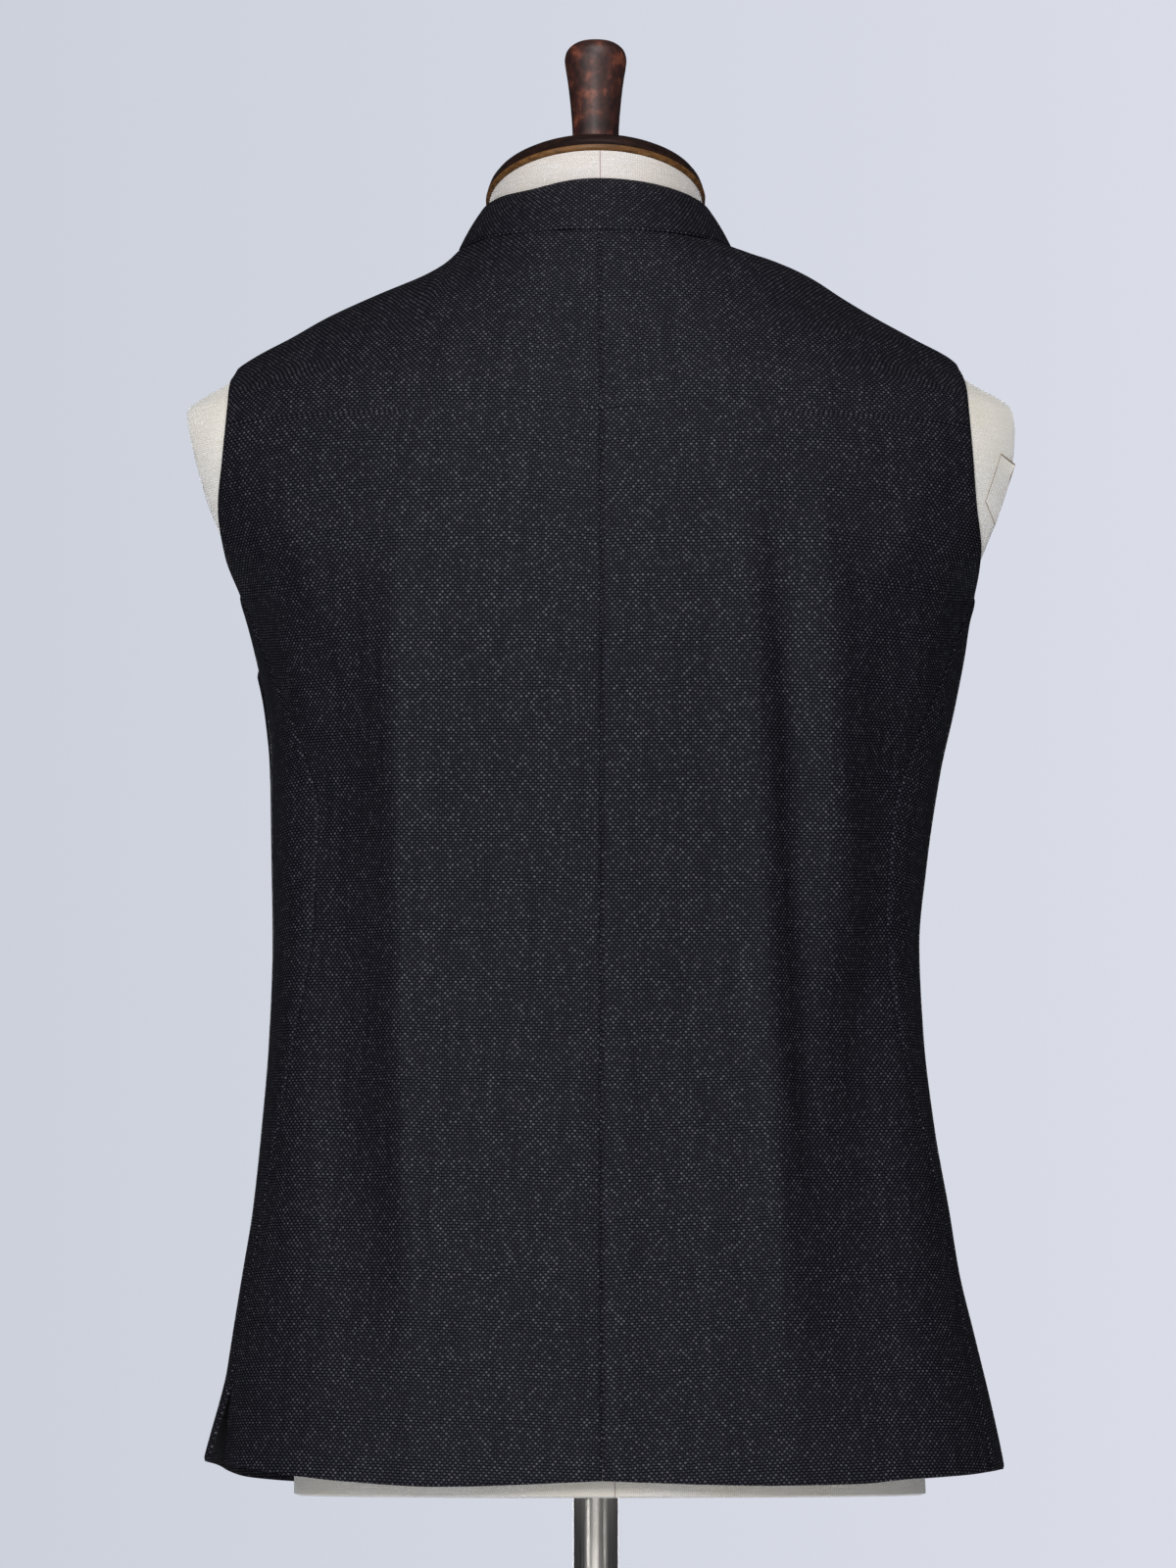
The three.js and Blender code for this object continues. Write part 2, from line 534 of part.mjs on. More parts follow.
// A ring round the neck: angle 0 is the centre back and PI the centre front.
function neckPoint(ring, angle, inset = 0) {
  const depth = (cos(angle) >= 0 ? ring.back : ring.front) - inset;
  const end = cos(angle) >= 0 ? ring.z_back : ring.z_front;
  return new THREE.Vector3(
    (ring.half_width - inset) * sin(angle),
    depth * cos(angle),
    ring.z_side + (end - ring.z_side) * cos(angle) ** 2,
  );
}

const COLLAR_COLUMNS = 8 * NECK_STATIONS;
const COLLAR_ROWS = 3;
const COLLAR_CORNER = 9; // radius of the collar's front corners

// A point of the panels' neckline. Between their stations the neckline is straight, as the panels are.
function necklinePoint(angle) {
  const side = angle < 0 ? RIGHT : LEFT;
  const place = abs(angle) / (PI / 2 / NECK_STATIONS);
  const [from, to] = [Math.floor(place), Math.floor(place) + 1].map((station) => {
    const flat = neckPoint(COLLAR_SEAM, min(station, 2 * NECK_STATIONS) * (PI / 2 / NECK_STATIONS));
    const turn = turnAt(side, flat.x, flat.z, station < NECK_STATIONS);
    const isBack = station <= NECK_STATIONS;
    const extra = isBack ? 0 : frontExtra(side, flat.x, VENT_SPLAY_WIDTH, flat.z);
    return ringPoint(side, turn, flat.z).addScaledVector(ringNormal(side, turn, flat.z), extra);
  });
  return from.lerp(to, place % 1);
}

function collar() {
  const skin = new Skin();
  const end = PI - COLLAR_END / COLLAR_SEAM.front;
  for (let row = 0; row <= COLLAR_ROWS; row++) {
    const up = row / COLLAR_ROWS;
    const line = [];
    for (let i = 0; i <= COLLAR_COLUMNS; i++) {
      const angle = THREE.MathUtils.clamp(lerp(-PI, PI, i / COLLAR_COLUMNS), -end, end);
      const low = necklinePoint(angle);
      const high = neckPoint(COLLAR_TOP, angle);
      const slope = high.clone().sub(low);
      const height = slope.length();
      slope.normalize();
      const tangent = neckPoint(COLLAR_SEAM, angle + 0.01).sub(neckPoint(COLLAR_SEAM, angle - 0.01)).normalize();
      const normal = slope.clone().cross(tangent).normalize();
      if (normal.x * low.x + normal.y * low.y < 0) normal.negate();
      const dip = COLLAR_DIP.depth * Math.exp(-(((angle - COLLAR_DIP.angle) / COLLAR_DIP.half_angle) ** 2));
      const fromEnd = (end - abs(angle)) * COLLAR_TOP.front;
      const corner = max(0, COLLAR_CORNER - fromEnd);
      const cut = COLLAR_CORNER - sqrt(COLLAR_CORNER ** 2 - corner ** 2);
      const along = lerp(COLLAR_LIFT, height - cut - dip, up);
      line.push(skin.add(low.addScaledVector(slope, along).addScaledVector(normal, COLLAR_BULGE * sin(PI * up)), normal));
    }
    skin.addRow(line);
  }
  return wall(skin, CLOTH, true);
}

// A closed solid through rings of equal length, from the lowest to the highest, with flat ends.
function loft(rings) {
  const positions = [];
  const triangles = [];
  const count = rings[0].length;
  rings.flat().forEach((point) => positions.push(point.x, point.y, point.z));
  for (let row = 0; row + 1 < rings.length; row++) {
    for (let i = 0; i < count; i++) {
      const [a, b] = [row * count + i, row * count + ((i + 1) % count)];
      triangles.push(a, b, b + count, a, b + count, a + count);
    }
  }
  [0, rings.length - 1].forEach((row, isTop) => {
    const centre = rings[row].reduce((sum, point) => sum.add(point), new THREE.Vector3()).divideScalar(count);
    const index = positions.length / 3;
    positions.push(centre.x, centre.y, centre.z);
    for (let i = 0; i < count; i++) {
      const [a, b] = [row * count + i, row * count + ((i + 1) % count)];
      triangles.push(...(isTop ? [index, a, b] : [index, b, a]));
    }
  });
  const geometry = new THREE.BufferGeometry();
  geometry.setAttribute("position", new THREE.Float32BufferAttribute(positions, 3));
  geometry.setIndex(triangles);
  return geometry;
}

function toSolid(geometry) {
  const bare = geometry.clone();
  bare.deleteAttribute("normal");
  bare.deleteAttribute("uv");
  const merged = mergeVertices(bare, 1e-4);
  const mesh = new wasm.Mesh({
    numProp: 3,
    vertProperties: merged.attributes.position.array,
    triVerts: new Uint32Array(merged.index.array),
  });
  return new wasm.Manifold(mesh);
}

function toGeometry(solid) {
  const { vertProperties, triVerts } = solid.getMesh();
  const geometry = new THREE.BufferGeometry();
  geometry.setAttribute("position", new THREE.BufferAttribute(vertProperties, 3));
  geometry.setIndex(new THREE.BufferAttribute(triVerts, 1));
  return geometry;
}

const FORM_COLUMNS = 56; // round the whole form
const FORM_HEIGHTS = [
  840, 866, 910, 960, 1010, 1060, 1110, 1160, 1210, 1260, 1300, 1330, 1345, 1362, 1380, 1400, 1422, 1440,
  1456, 1465, 1474, 1481, 1487, 1498, 1510, 1521, 1533, 1541, 1546,
];
const insetAt = Object.fromEntries(
  Object.keys(FORM_INSET[0]).filter((name) => name !== "z").map((name) => [name, column(FORM_INSET, "z", name)]),
);

// The form is the garment's outer face moved in along its normal, cut flat at the arms.
function formPoint(side, turn, z) {
  const sideInset = side === LEFT ? insetAt.side_left(z) : insetAt.side_right(z);
  const endInset = cos(turn) >= 0 ? insetAt.back(z) : insetAt.front(z);
  const inset = lerp(endInset, sideInset, sin(turn) ** 2);
  const point = ringPoint(side, turn, z).addScaledVector(ringNormal(side, turn, z), -inset);
  const [topX, lowX] = ARM_PLATE[side];
  const plate = lerp(lowX, topX, (point.z - ARM_PLATE.low_z) / (ARM_PLATE.top_z - ARM_PLATE.low_z));
  if (point.z > ARM_PLATE.low_z - 30) point.x = side * min(abs(point.x), plate);
  return point;
}

function capPlaneHeight(y) {
  return CAP_CENTRE.z + y * Math.tan(CAP_TILT) - SEAM_GAP;
}

// The neck's surface: share runs from 0 at the collar seam to 1 at the collar's upper edge.
function neckSurface(angle, share) {
  const inset = lerp(NECK_INSET.back, NECK_INSET.front, smoothstep(-cos(angle), 0.3, 0.8));
  return neckPoint(COLLAR_SEAM, angle, inset).lerp(neckPoint(COLLAR_TOP, angle, inset), share);
}

// Everything outside the neck between the collar seam and the collar's top, cut away from the torso.
function neckClearance() {
  const skin = new Skin();
  const [reach, drop] = [30, 1.5];
  for (const share of [0, 0.5, 1, 1.6]) {
    const line = [];
    for (let i = 0; i < FORM_COLUMNS; i++) {
      const angle = (2 * PI * i) / FORM_COLUMNS;
      const normal = new THREE.Vector3(sin(angle), cos(angle), 0);
      const point = neckSurface(angle, share).addScaledVector(normal, reach);
      if (share === 0) point.z -= drop;
      line.push(skin.add(point, normal));
    }
    line.push(line[0]);
    skin.addRow(line);
  }
  return wall(skin, reach, true);
}

function dressForm() {
  const torso = FORM_HEIGHTS.map((z) =>
    Array.from({ length: FORM_COLUMNS }, (_, i) => {
      const turn = (2 * PI * i) / FORM_COLUMNS;
      const point = turn <= PI ? formPoint(LEFT, turn, z) : formPoint(RIGHT, 2 * PI - turn, z);
      if (z === FORM_BOTTOM_Z) point.z = FORM_BOTTOM_Z;
      return point;
    }).reverse(),
  );
  const angles = Array.from({ length: FORM_COLUMNS }, (_, i) => (-2 * PI * i) / FORM_COLUMNS);
  const neck = [
    angles.map((angle) => neckPoint(NECK_ROOT, angle)),
    ...[0, 0.34, 0.67, 0.96].map((share) => angles.map((angle) => neckSurface(angle, share))),
    angles.map((angle) => neckPoint(NECK_TOP, angle)),
    angles.map((angle) => neckPoint(NECK_TOP, angle)).map((point) => point.setZ(capPlaneHeight(point.y))),
  ];
  const socket = new THREE.CylinderGeometry(SOCKET_RADIUS, SOCKET_RADIUS, POLE_INTO_FORM * 2, 24)
    .rotateX(PI / 2)
    .translate(0, 0, FORM_BOTTOM_Z);
  const body = toSolid(loft(torso)).subtract(toSolid(neckClearance()));
  return toGeometry(body.add(toSolid(loft(neck))).subtract(toSolid(socket)));
}

// A turned piece about +Z from [radius, height] pairs that start and end on the axis.
function turned(profile, segments) {
  const points = profile.map(([radius, height]) => new THREE.Vector2(radius, height));
  return new THREE.LatheGeometry(points, segments).rotateX(PI / 2);
}

function neckCap() {
  const [radius, thickness] = [CAP_RADIUS, CAP_THICKNESS];
  const disc = turned(
    [
      [0, 0], [radius - 1.6, 0], [radius, 1.8], [radius, 4], [radius - 2.2, 6.8],
      [radius - 7, thickness - 0.4], [28, thickness], [0, thickness],
    ],
    40,
  );
  disc.rotateX(CAP_TILT).translate(CAP_CENTRE.x, CAP_CENTRE.y, CAP_CENTRE.z);
  // The finial stands upright in a level seat sunk into the sloping cap.
  const depth = 20;
  const seat = new THREE.CylinderGeometry(FINIAL_SEAT_RADIUS, FINIAL_SEAT_RADIUS, depth, 28)
    .rotateX(PI / 2)
    .translate(0, 0, FINIAL_SEAT_Z + depth / 2);
  return toGeometry(toSolid(disc).subtract(toSolid(seat)));
}

function basePlate() {
  const bore = POLE_RADIUS + SEAM_GAP;
  const { radius, height } = BASE_HUB;
  const top = BASE_THICKNESS;
  return turned(
    [
      [0, 0], [BASE_RADIUS - 1, 0], [BASE_RADIUS, 1], [BASE_RADIUS, top - 2.5], [BASE_RADIUS - 2.5, top],
      [radius + 3, top], [radius, top + 3], [radius, top + height - 2], [radius - 2, top + height],
      [bore, top + height], [bore, top], [0, top],
    ],
    40,
  );
}

function button() {
  const [radius, depth] = [BUTTON_RADIUS, BUTTON_THICKNESS];
  return turned(
    [[0, 0], [radius - 3, 0], [radius - 0.4, 1.4], [radius, 2.4], [radius - 0.6, depth - 0.5], [radius - 1.8, depth], [radius - 3, depth - 1], [0, depth - 1]],
    14,
  );
}

const material = (color, roughness, metalness = 0) => new THREE.MeshStandardMaterial({ color, roughness, metalness });
const suiting = material("#232329", 0.75);
const satin = material("#0b0b0d", 0.25);
const buttonBlack = material("#141416", 0.35);
const linen = material("#e4dfd4", 0.85);
const stainedWood = material("#3f201a", 0.4);
const steel = material("#9a9a9c", 0.3, 1);

const part = new THREE.Group();

function addPiece(parent, name, geometry, finish) {
  const mesh = new THREE.Mesh(geometry, finish);
  mesh.name = name;
  parent.add(mesh);
  return mesh;
}

const waistcoat = new THREE.Group();
for (const [side, word] of [[LEFT, "left"], [RIGHT, "right"]]) {
  addPiece(waistcoat, `back_${word}`, backPanel(side), suiting);
  const front = frontPanel(side);
  addPiece(waistcoat, `front_${word}`, wall(front, CLOTH, side === RIGHT), suiting);
  addPiece(waistcoat, `vent_lining_${word}`, ventLining(front, side), satin);
}
addPiece(waistcoat, "collar", collar(), suiting);
BUTTON_HEIGHTS.forEach((z, i) => {
  const piece = addPiece(waistcoat, `button_${i + 1}`, button(), buttonBlack);
  const normal = ringNormal(LEFT, PI - 1e-3, z);
  const face = ringPoint(LEFT, PI, z).addScaledVector(normal, SEAM_GAP + 0.05);
  piece.quaternion.setFromUnitVectors(new THREE.Vector3(0, 0, 1), normal.setX(0).normalize());
  piece.position.copy(face).setX(0);
});

const stand = new THREE.Group();
addPiece(stand, "dress_form", dressForm(), linen);
addPiece(stand, "neck_cap", neckCap(), stainedWood);
addPiece(stand, "finial", turned(FINIAL_PROFILE, 28), stainedWood);
const poleBottom = BASE_THICKNESS + SEAM_GAP;
const poleTop = FORM_BOTTOM_Z + POLE_INTO_FORM - SEAM_GAP;
const pole = addPiece(stand, "pole", turned([[0, 0], [POLE_RADIUS, 0], [POLE_RADIUS, poleTop - poleBottom], [0, poleTop - poleBottom]], 28), steel);
pole.position.z = poleBottom;
addPiece(stand, "base_plate", basePlate(), steel);

part.add(waistcoat, stand);
export default part;
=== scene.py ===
"""A black stand-collar waistcoat worn on a linen dress form: fine cloth, finishes, light and camera."""
import math
from functools import partial

import bmesh
import bpy
import numpy as np
from mathutils import Matrix, Vector, kdtree


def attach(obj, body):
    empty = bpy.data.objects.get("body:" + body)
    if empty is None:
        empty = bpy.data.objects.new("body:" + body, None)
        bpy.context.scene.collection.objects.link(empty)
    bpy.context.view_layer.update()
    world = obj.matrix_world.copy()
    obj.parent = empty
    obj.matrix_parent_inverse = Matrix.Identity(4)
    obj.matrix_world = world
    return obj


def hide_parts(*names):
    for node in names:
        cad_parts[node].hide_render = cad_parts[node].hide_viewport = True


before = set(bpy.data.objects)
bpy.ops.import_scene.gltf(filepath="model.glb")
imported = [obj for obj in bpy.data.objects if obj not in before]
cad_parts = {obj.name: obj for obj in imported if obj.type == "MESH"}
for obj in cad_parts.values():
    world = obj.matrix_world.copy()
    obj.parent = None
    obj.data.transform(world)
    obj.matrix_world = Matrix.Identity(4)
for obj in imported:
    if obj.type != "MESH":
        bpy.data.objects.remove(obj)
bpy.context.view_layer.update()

MM = 0.001
LEFT, RIGHT = 1, -1  # the wearer's sides, +X and -X
WORD = {LEFT: "left", RIGHT: "right"}
PI = math.pi

# ---- Measures of the cut, in millimetres -------------------------------------------------------

CLOTH = 2.0
TURNED_EDGE = 9.0
HALF_GAP = 0.03
SEAM_REACH, EDGE_REACH = 1.15, 1.3  # how far in from a seam and from a free edge the cloth rolls over
STRETCH_OF_CLOTH = np.array([0.61, 0.37])  # in metres, from one piece's place on the cloth to the next one's
SHOULDER_NECK_Z, NECK_BACK_Z, NECK_FRONT_Z = 1549, 1547.5, 1474
NECK_HALF_WIDTH, NECK_BACK_Y = 80, 82
YOKE_Z, CHEST_Z, UNDERARM_Z, ARMHOLE_LOW_Z, VENT_TOP_Z = 1440, 1330, 1345, 1302, 913
SHOULDER_TIP = {LEFT: 206, RIGHT: 208}
LAP, LAP_STEP, LAP_RAMP = 20, 2.5, (24, 62)
BUTTON_HEIGHTS = (1450, 1357, 1264, 1171, 1078)
BUTTON_RADIUS, BUTTON_THICKNESS, BUTTON_BEVEL, BUTTON_GAP = 10, 3.6, 0.35, 0.35
BUTTON_RIM, BUTTON_SLOPE, BUTTON_DISH = 1.5, 0.8, 1.1  # the flat rim, the slope inside it and the dish's depth
HOLE_RADIUS, HOLE_PLACES = 0.95, ((-1.6, -1.6), (-1.6, 1.6), (1.6, -1.6), (1.6, 1.6))
VENT_SPLAY, VENT_SPLAY_WIDTH = {LEFT: 10.5, RIGHT: 0.6}, 55
FRONT_COLUMNS, FRONT_CHEST_COLUMNS = 22, 15
BACK_NECK_SHARE, FRONT_NECK_SHARE = 7 / 17, 0.5
CHEST_SHARE = FRONT_CHEST_COLUMNS / FRONT_COLUMNS

# Horizontal sections of the waistcoat's outer face: half widths, depths, y of the widest point, squareness.
SECTION_NAMES = ("left", "right", "back", "front", "widest", "square_back", "square_front")
SECTIONS = (
    (840, 213, 229, 136, 131, 24, 2.3, 2.2), (865, 210.5, 225, 134, 129, 23, 2.3, 2.2),
    (900, 207.5, 218, 131, 127, 21, 2.3, 2.2), (933, 202.8, 210.5, 128.5, 125, 19, 2.3, 2.2),
    (966, 197.5, 203, 126, 123.5, 17, 2.35, 2.2), (1000, 192.3, 198, 123.5, 122, 15, 2.4, 2.2),
    (1048, 188, 190.4, 120.5, 120.5, 12, 2.4, 2.2), (1098, 184.7, 185.2, 119, 120, 10, 2.4, 2.2),
    (1148, 183.3, 183.4, 119.5, 122, 8, 2.4, 2.2), (1199, 184.2, 188.2, 122, 126, 6, 2.4, 2.2),
    (1249, 185.2, 196, 126, 129.5, 4, 2.4, 2.2), (1283, 188.4, 203.8, 128.5, 130, 3, 2.4, 2.2),
    (1317, 196, 211, 130, 128, 2, 2.35, 2.2), (1334, 201.5, 214.5, 130, 126, 2, 2.35, 2.2),
    (1345, 206.4, 219, 129.8, 124, 2, 2.3, 2.2), (1362, 217, 232, 129.2, 121, 2, 2.3, 2.2),
    (1380, 225.5, 239, 128.2, 117, 2, 2.25, 2.2), (1400, 233, 244, 126.5, 112, 1, 2.2, 2.2),
    (1422, 239, 249, 123.5, 104.5, 1, 2.15, 2.15), (1440, 242, 251, 120, 98, 0, 2.05, 2.1),
    (1456, 239, 248, 116, 91, 0, 1.95, 2.05), (1465, 229, 238, 113.5, 86.5, 0, 1.9, 2),
    (1474, 214, 222, 111, 82, 0, 1.85, 2), (1481, 206, 212, 108.5, 78.5, 0, 1.8, 2),
    (1487, 197, 206, 106.5, 75.5, 0, 1.8, 2), (1498, 177, 186.5, 102.5, 69.5, 0, 1.75, 2),
    (1510, 156, 164.5, 98, 63.5, 0, 1.75, 2), (1521, 131.5, 145.5, 93.5, 57.5, 0, 1.8, 2),
    (1533, 102.5, 126, 88.5, 52.5, 0, 1.85, 2), (1541, 88.5, 106, 85, 50, 0, 1.95, 2),
    (1549, 80, 80, 82, 48, 0, 2, 2), (1556, 73, 73, 79, 47, 0, 2, 2),
)
# Where the backs end at the side, and the front edge of the armhole: height, left, right.
BACK_EDGE = (
    (840, 208.5, 219), (862, 206.7, 216), (913, 201.5, 207), (1000, 186, 191), (1098, 170, 172), (1165, 162, 166),
    (1215, 162, 169), (1260, 172, 182), (1300, 186.5, 197.5), (1334, 198.5, 210), (1345, 203.5, 215),
    (1367, 211.5, 216.5), (1390, 214.5, 213), (1419, 211.5, 210.6), (1453, 208.8, 208.8), (1470, 208.2, 208.4),
    (1481, 206, 208.2), (1487, 206, 208),
)
FRONT_EDGE = (
    (1320, 187, 196), (1345, 182, 189), (1365, 179, 184), (1400, 178, 182), (1435, 183, 187), (1462, 193, 197),
    (1481, 206, 208), (1487, 206, 208),
)
# The hem's height against the share of the panel from its centre edge: share, left, right.
BACK_HEM = (
    (0, 852.3, 852.3), (0.38, 849.3, 849.8), (0.6, 852, 850.6), (0.7, 854.1, 852.6), (0.85, 857.8, 854.8),
    (1, 861.4, 857),
)
FRONT_HEM = (
    (0, 846.5, 846.5), (0.5, 848, 849), (0.7, 851.8, 853), (0.8, 856, 855.5), (0.9, 860, 857.2),
    (1, 861.6, 857.4),
)

# Folds of the cloth: face (back 1, front -1), top x and z, low x and z, half width, lift.
FOLDS = (
    (1, 116, 1370, 104, 930, 13, 3.2), (1, 158, 1330, 142, 960, 20, -4.5), (1, -80, 1380, -98, 950, 12, 3.0),
    (1, -99, 1370, -118, 1000, 11, -3.4), (1, -124, 1390, -136, 1120, 13, 3.2), (1, -168, 1340, -154, 1010, 18, -4.5),
    (1, 12, 1120, 12, 880, 7, 1.0), (1, -12, 1120, -12, 880, 7, 1.0), (-1, 112, 1280, 120, 900, 22, 3.0),
    (-1, -116, 1270, -126, 880, 22, 3.2), (-1, 152, 1290, 156, 960, 16, -3.0), (-1, -158, 1290, -160, 960, 16, -3.0),
)
# What the photo shows finer than those folds: the planes turn more sharply, and drag lines run from the underarms.
CREASES = (
    (1, 112, 1330, 101, 900, 13, 4.0), (1, 146, 1300, 138, 900, 22, -3.5), (1, 206, 1385, 152, 1180, 11, -2.6),
    (1, 184, 1400, 140, 1290, 9, 1.2), (1, -84, 1330, -104, 880, 14, 2.6), (1, -98, 1340, -113, 1120, 10, -0.8),
    (1, -126, 1360, -134, 1170, 12, 1.2), (1, -136, 1150, -152, 890, 28, -7.0), (1, -212, 1370, -176, 1230, 10, -2.4),
    (1, -164, 1270, -152, 1080, 16, -2.5), (1, -186, 1410, -150, 1330, 9, 1.2), (1, 60, 1250, 66, 900, 20, 0.8),
    (1, -40, 1180, -48, 900, 16, -0.7), (1, 40, 1060, 36, 880, 10, -0.6),
)

# Rings round the neck: half width, back, front, z at the back, side and front.
COLLAR_SEAM = (NECK_HALF_WIDTH, NECK_BACK_Y, 82, NECK_BACK_Z, SHOULDER_NECK_Z, NECK_FRONT_Z)
COLLAR_TOP = (64.6, 61.6, 64.5, 1581.5, 1576, 1511)
NECK_ROOT = (62, 66, 62, 1498, 1480, 1432)
NECK_TOP = (61.4, 58.6, 61, 1588, 1571, 1544)
COLLAR_LIFT, COLLAR_END, COLLAR_BULGE, COLLAR_CORNER = 0.4, 2.2, 0.8, 9
COLLAR_DIP = (0.62, 0.32, 3.2)
NECK_INSET = (3.6, 6.2)

FORM_BOTTOM_Z, FORM_TOP_Z, FORM_CLEARANCE, NECK_HEIGHT = 843, 1546, 0.35, 34
FORM_INSET = (
    (840, 44.5, 46, 16.5, 22), (950, 33, 33, 17.5, 20), (1050, 25, 25, 15, 17), (1150, 17, 17, 12, 14),
    (1250, 9, 10, 8.5, 10), (1320, 5.4, 6.4, 5.2, 7.5), (1362, 4, 4.4, 3.8, 6.2), (1400, 3, 3, 3.2, 5.6),
    (1480, 3, 3, 3, 5.5), (1500, 4.2, 4.5, 3.4, 6), (1521, 4.2, 4.2, 4.2, 6.4), (1541, 5.4, 5.8, 5.4, 7.6),
    (1556, 5.8, 5.8, 5.8, 8),
)
# The flat faces where the form's arms would be: height, left, right.
ARM_PLATE = (
    (1320, 196, 206), (1340, 199, 207.5), (1362, 205.5, 214.5), (1377, 211, 220.5), (1390, 215.5, 226),
    (1408, 223, 231.5), (1430, 229, 236.5), (1447, 232.4, 237.6), (1455, 233.4, 236.4), (1461, 231.2, 233.6),
    (1467, 224, 227), (1474, 214, 219), (1484, 208, 212),
)
# Corners of the torn tongue of linen at the right plate: x and z, upper two and lower two, the inner one first.
TEAR = (((-227.5, 1426), (-236, 1421)), ((-217.5, 1397), (-224.5, 1385)))
CAP_TILT = math.radians(18)
CAP_RADIUS, CAP_CENTRE_Z = 63.2, 1578.7
POLE_RADIUS, BASE_RADIUS, BASE_THICKNESS = 12.6, 170, 8
# Turned profiles. The rims give how far inside the full radius they are, and the height. The rest is radius, height.
CAP_RIM = (
    (2.2, 0), (1.2, 0.25), (0.4, 0.9), (0, 1.9), (-0.1, 2.8), (0.4, 3.4), (0.7, 6), (1.6, 8.8), (3.2, 11.2),
    (5.6, 13), (9, 14), (14, 14.3),
)
CAP_TOP = ((38, 14), (28, 13.6), (14.2, 13.2), (13.5, 12.4), (13.4, 6), (0, 6))
FINIAL = (
    (12.4, 1590.2), (12.7, 1596), (13.2, 1604), (13.35, 1620), (14.4, 1636), (16.2, 1652), (17.5, 1660),
    (17.9, 1664), (17, 1668.5), (14, 1672.3), (9.5, 1674.5), (0, 1675.2),
)
POLE_HEIGHTS = (BASE_THICKNESS + 0.3, 400, 800, 899.7)
BASE_RIM = (
    (1.2, 0), (0.4, 0.4), (0, 1.2), (0, BASE_THICKNESS - 3), (0.4, BASE_THICKNESS - 1.4),
    (1.4, BASE_THICKNESS - 0.4), (3, BASE_THICKNESS),
)
SOCKET = (
    (26, 0), (24, 0.5), (22.6, 1.6), (22, 3.2), (22, 19.5), (21.6, 20.9), (20.6, 21.8), (19.4, 22),
    (13.4, 22), (12.9, 21.5), (12.9, 0), (0, 0),
)

# Lights and camera, in metres: name, place, height aimed at, width, height, watts.
LIGHTS = (
    ("key_softbox", (0.5, 3.3, 1.95), 1.2, 0.8, 0.8, 43),
    ("strip_left", (2.05, 2.4, 1.5), 1.25, 0.07, 2.0, 16),
    ("strip_right", (-2.2, 2.25, 1.5), 1.25, 0.07, 2.0, 6),
    ("top_soft", (-0.1, 1.4, 3.0), 1.4, 1.0, 1.0, 24),
    ("floor_bounce", (0.1, 2.5, 0.3), 0.9, 1.2, 0.5, 11),
    ("front_soft", (-0.08, -3.1, 1.45), 1.2, 1.6, 1.6, 85),
)
CAMERA_PLACE, CAMERA_TARGET, LENS, SENSOR = (0.0785, 2.999, 0.900), (0.0044, 0, 1.2434), 121.84, 36
FLOOR_SIZE = 6

# ---- The body under the cloth, as smooth functions -----------------------------------------------


def smooth_column(places, values):
    """A cubic through a table's column whose slopes never overshoot its rows."""
    xs, ys = np.array(places, float), np.array(values, float)
    slopes = np.diff(ys) / np.diff(xs)
    a, b = slopes[:-1], slopes[1:]
    inner = np.where(a * b > 0, 2 * a * b / np.where(a * b > 0, a + b, 1), 0)
    tangents = np.concatenate([slopes[:1], inner, slopes[-1:]])

    def at(x):
        x = np.asarray(x, float)
        i = np.clip(np.searchsorted(xs, x, side="right") - 1, 0, len(xs) - 2)
        h = xs[i + 1] - xs[i]
        t = (x - xs[i]) / h
        inside = (ys[i] * (1 + 2 * t) * (1 - t) ** 2 + h * tangents[i] * t * (1 - t) ** 2
                  + ys[i + 1] * t * t * (3 - 2 * t) + h * tangents[i + 1] * t * t * (t - 1))
        before = ys[0] + (x - xs[0]) * tangents[0]
        after = ys[-1] + (x - xs[-1]) * tangents[-1]
        return np.where(x <= xs[0], before, np.where(x >= xs[-1], after, inside))

    return at


def columns(table, names):
    """One smooth function of the height, or of the share, for each named column of a table."""
    places, *values = zip(*table)
    return {name: smooth_column(places, column) for name, column in zip(names, values)}


section = columns(SECTIONS, SECTION_NAMES)
half_width = {LEFT: section["left"], RIGHT: section["right"]}
back_edge, front_edge = columns(BACK_EDGE, (LEFT, RIGHT)), columns(FRONT_EDGE, (LEFT, RIGHT))
back_hem, front_hem = columns(BACK_HEM, (LEFT, RIGHT)), columns(FRONT_HEM, (LEFT, RIGHT))
form_inset, arm_plate = columns(FORM_INSET, (LEFT, RIGHT, "back", "front")), columns(ARM_PLATE, (LEFT, RIGHT))


def lerp(a, b, t):
    return a + (b - a) * t


def between(table, i, j, down, across):
    """Reads a table between rows i and i + 1 and columns j and j + 1."""
    return lerp(lerp(table[i, j], table[i, j + 1], across), lerp(table[i + 1, j], table[i + 1, j + 1], across), down)


def smoothstep(x, low, high):
    t = np.clip((np.asarray(x, float) - low) / (high - low), 0, 1)
    return t * t * (3 - 2 * t)


def ring_point(side, turn, z):
    """A point of the section at height z: turn is 0 at the centre back and PI at the centre front."""
    turn, z = np.broadcast_arrays(np.asarray(turn, float), np.asarray(z, float))
    s, c = np.sin(turn), np.cos(turn)
    square = np.where(c >= 0, section["square_back"](z), section["square_front"](z))
    widest = section["widest"](z)
    depth = np.where(c >= 0, section["back"](z) - widest, -(section["front"](z) + widest))
    x = side * half_width[side](z) * np.sign(s) * np.abs(s) ** (2 / square)
    return np.stack([x, widest + depth * np.abs(c) ** (2 / square), z], -1)


def unit(v):
    return v / np.linalg.norm(v, axis=-1, keepdims=True)


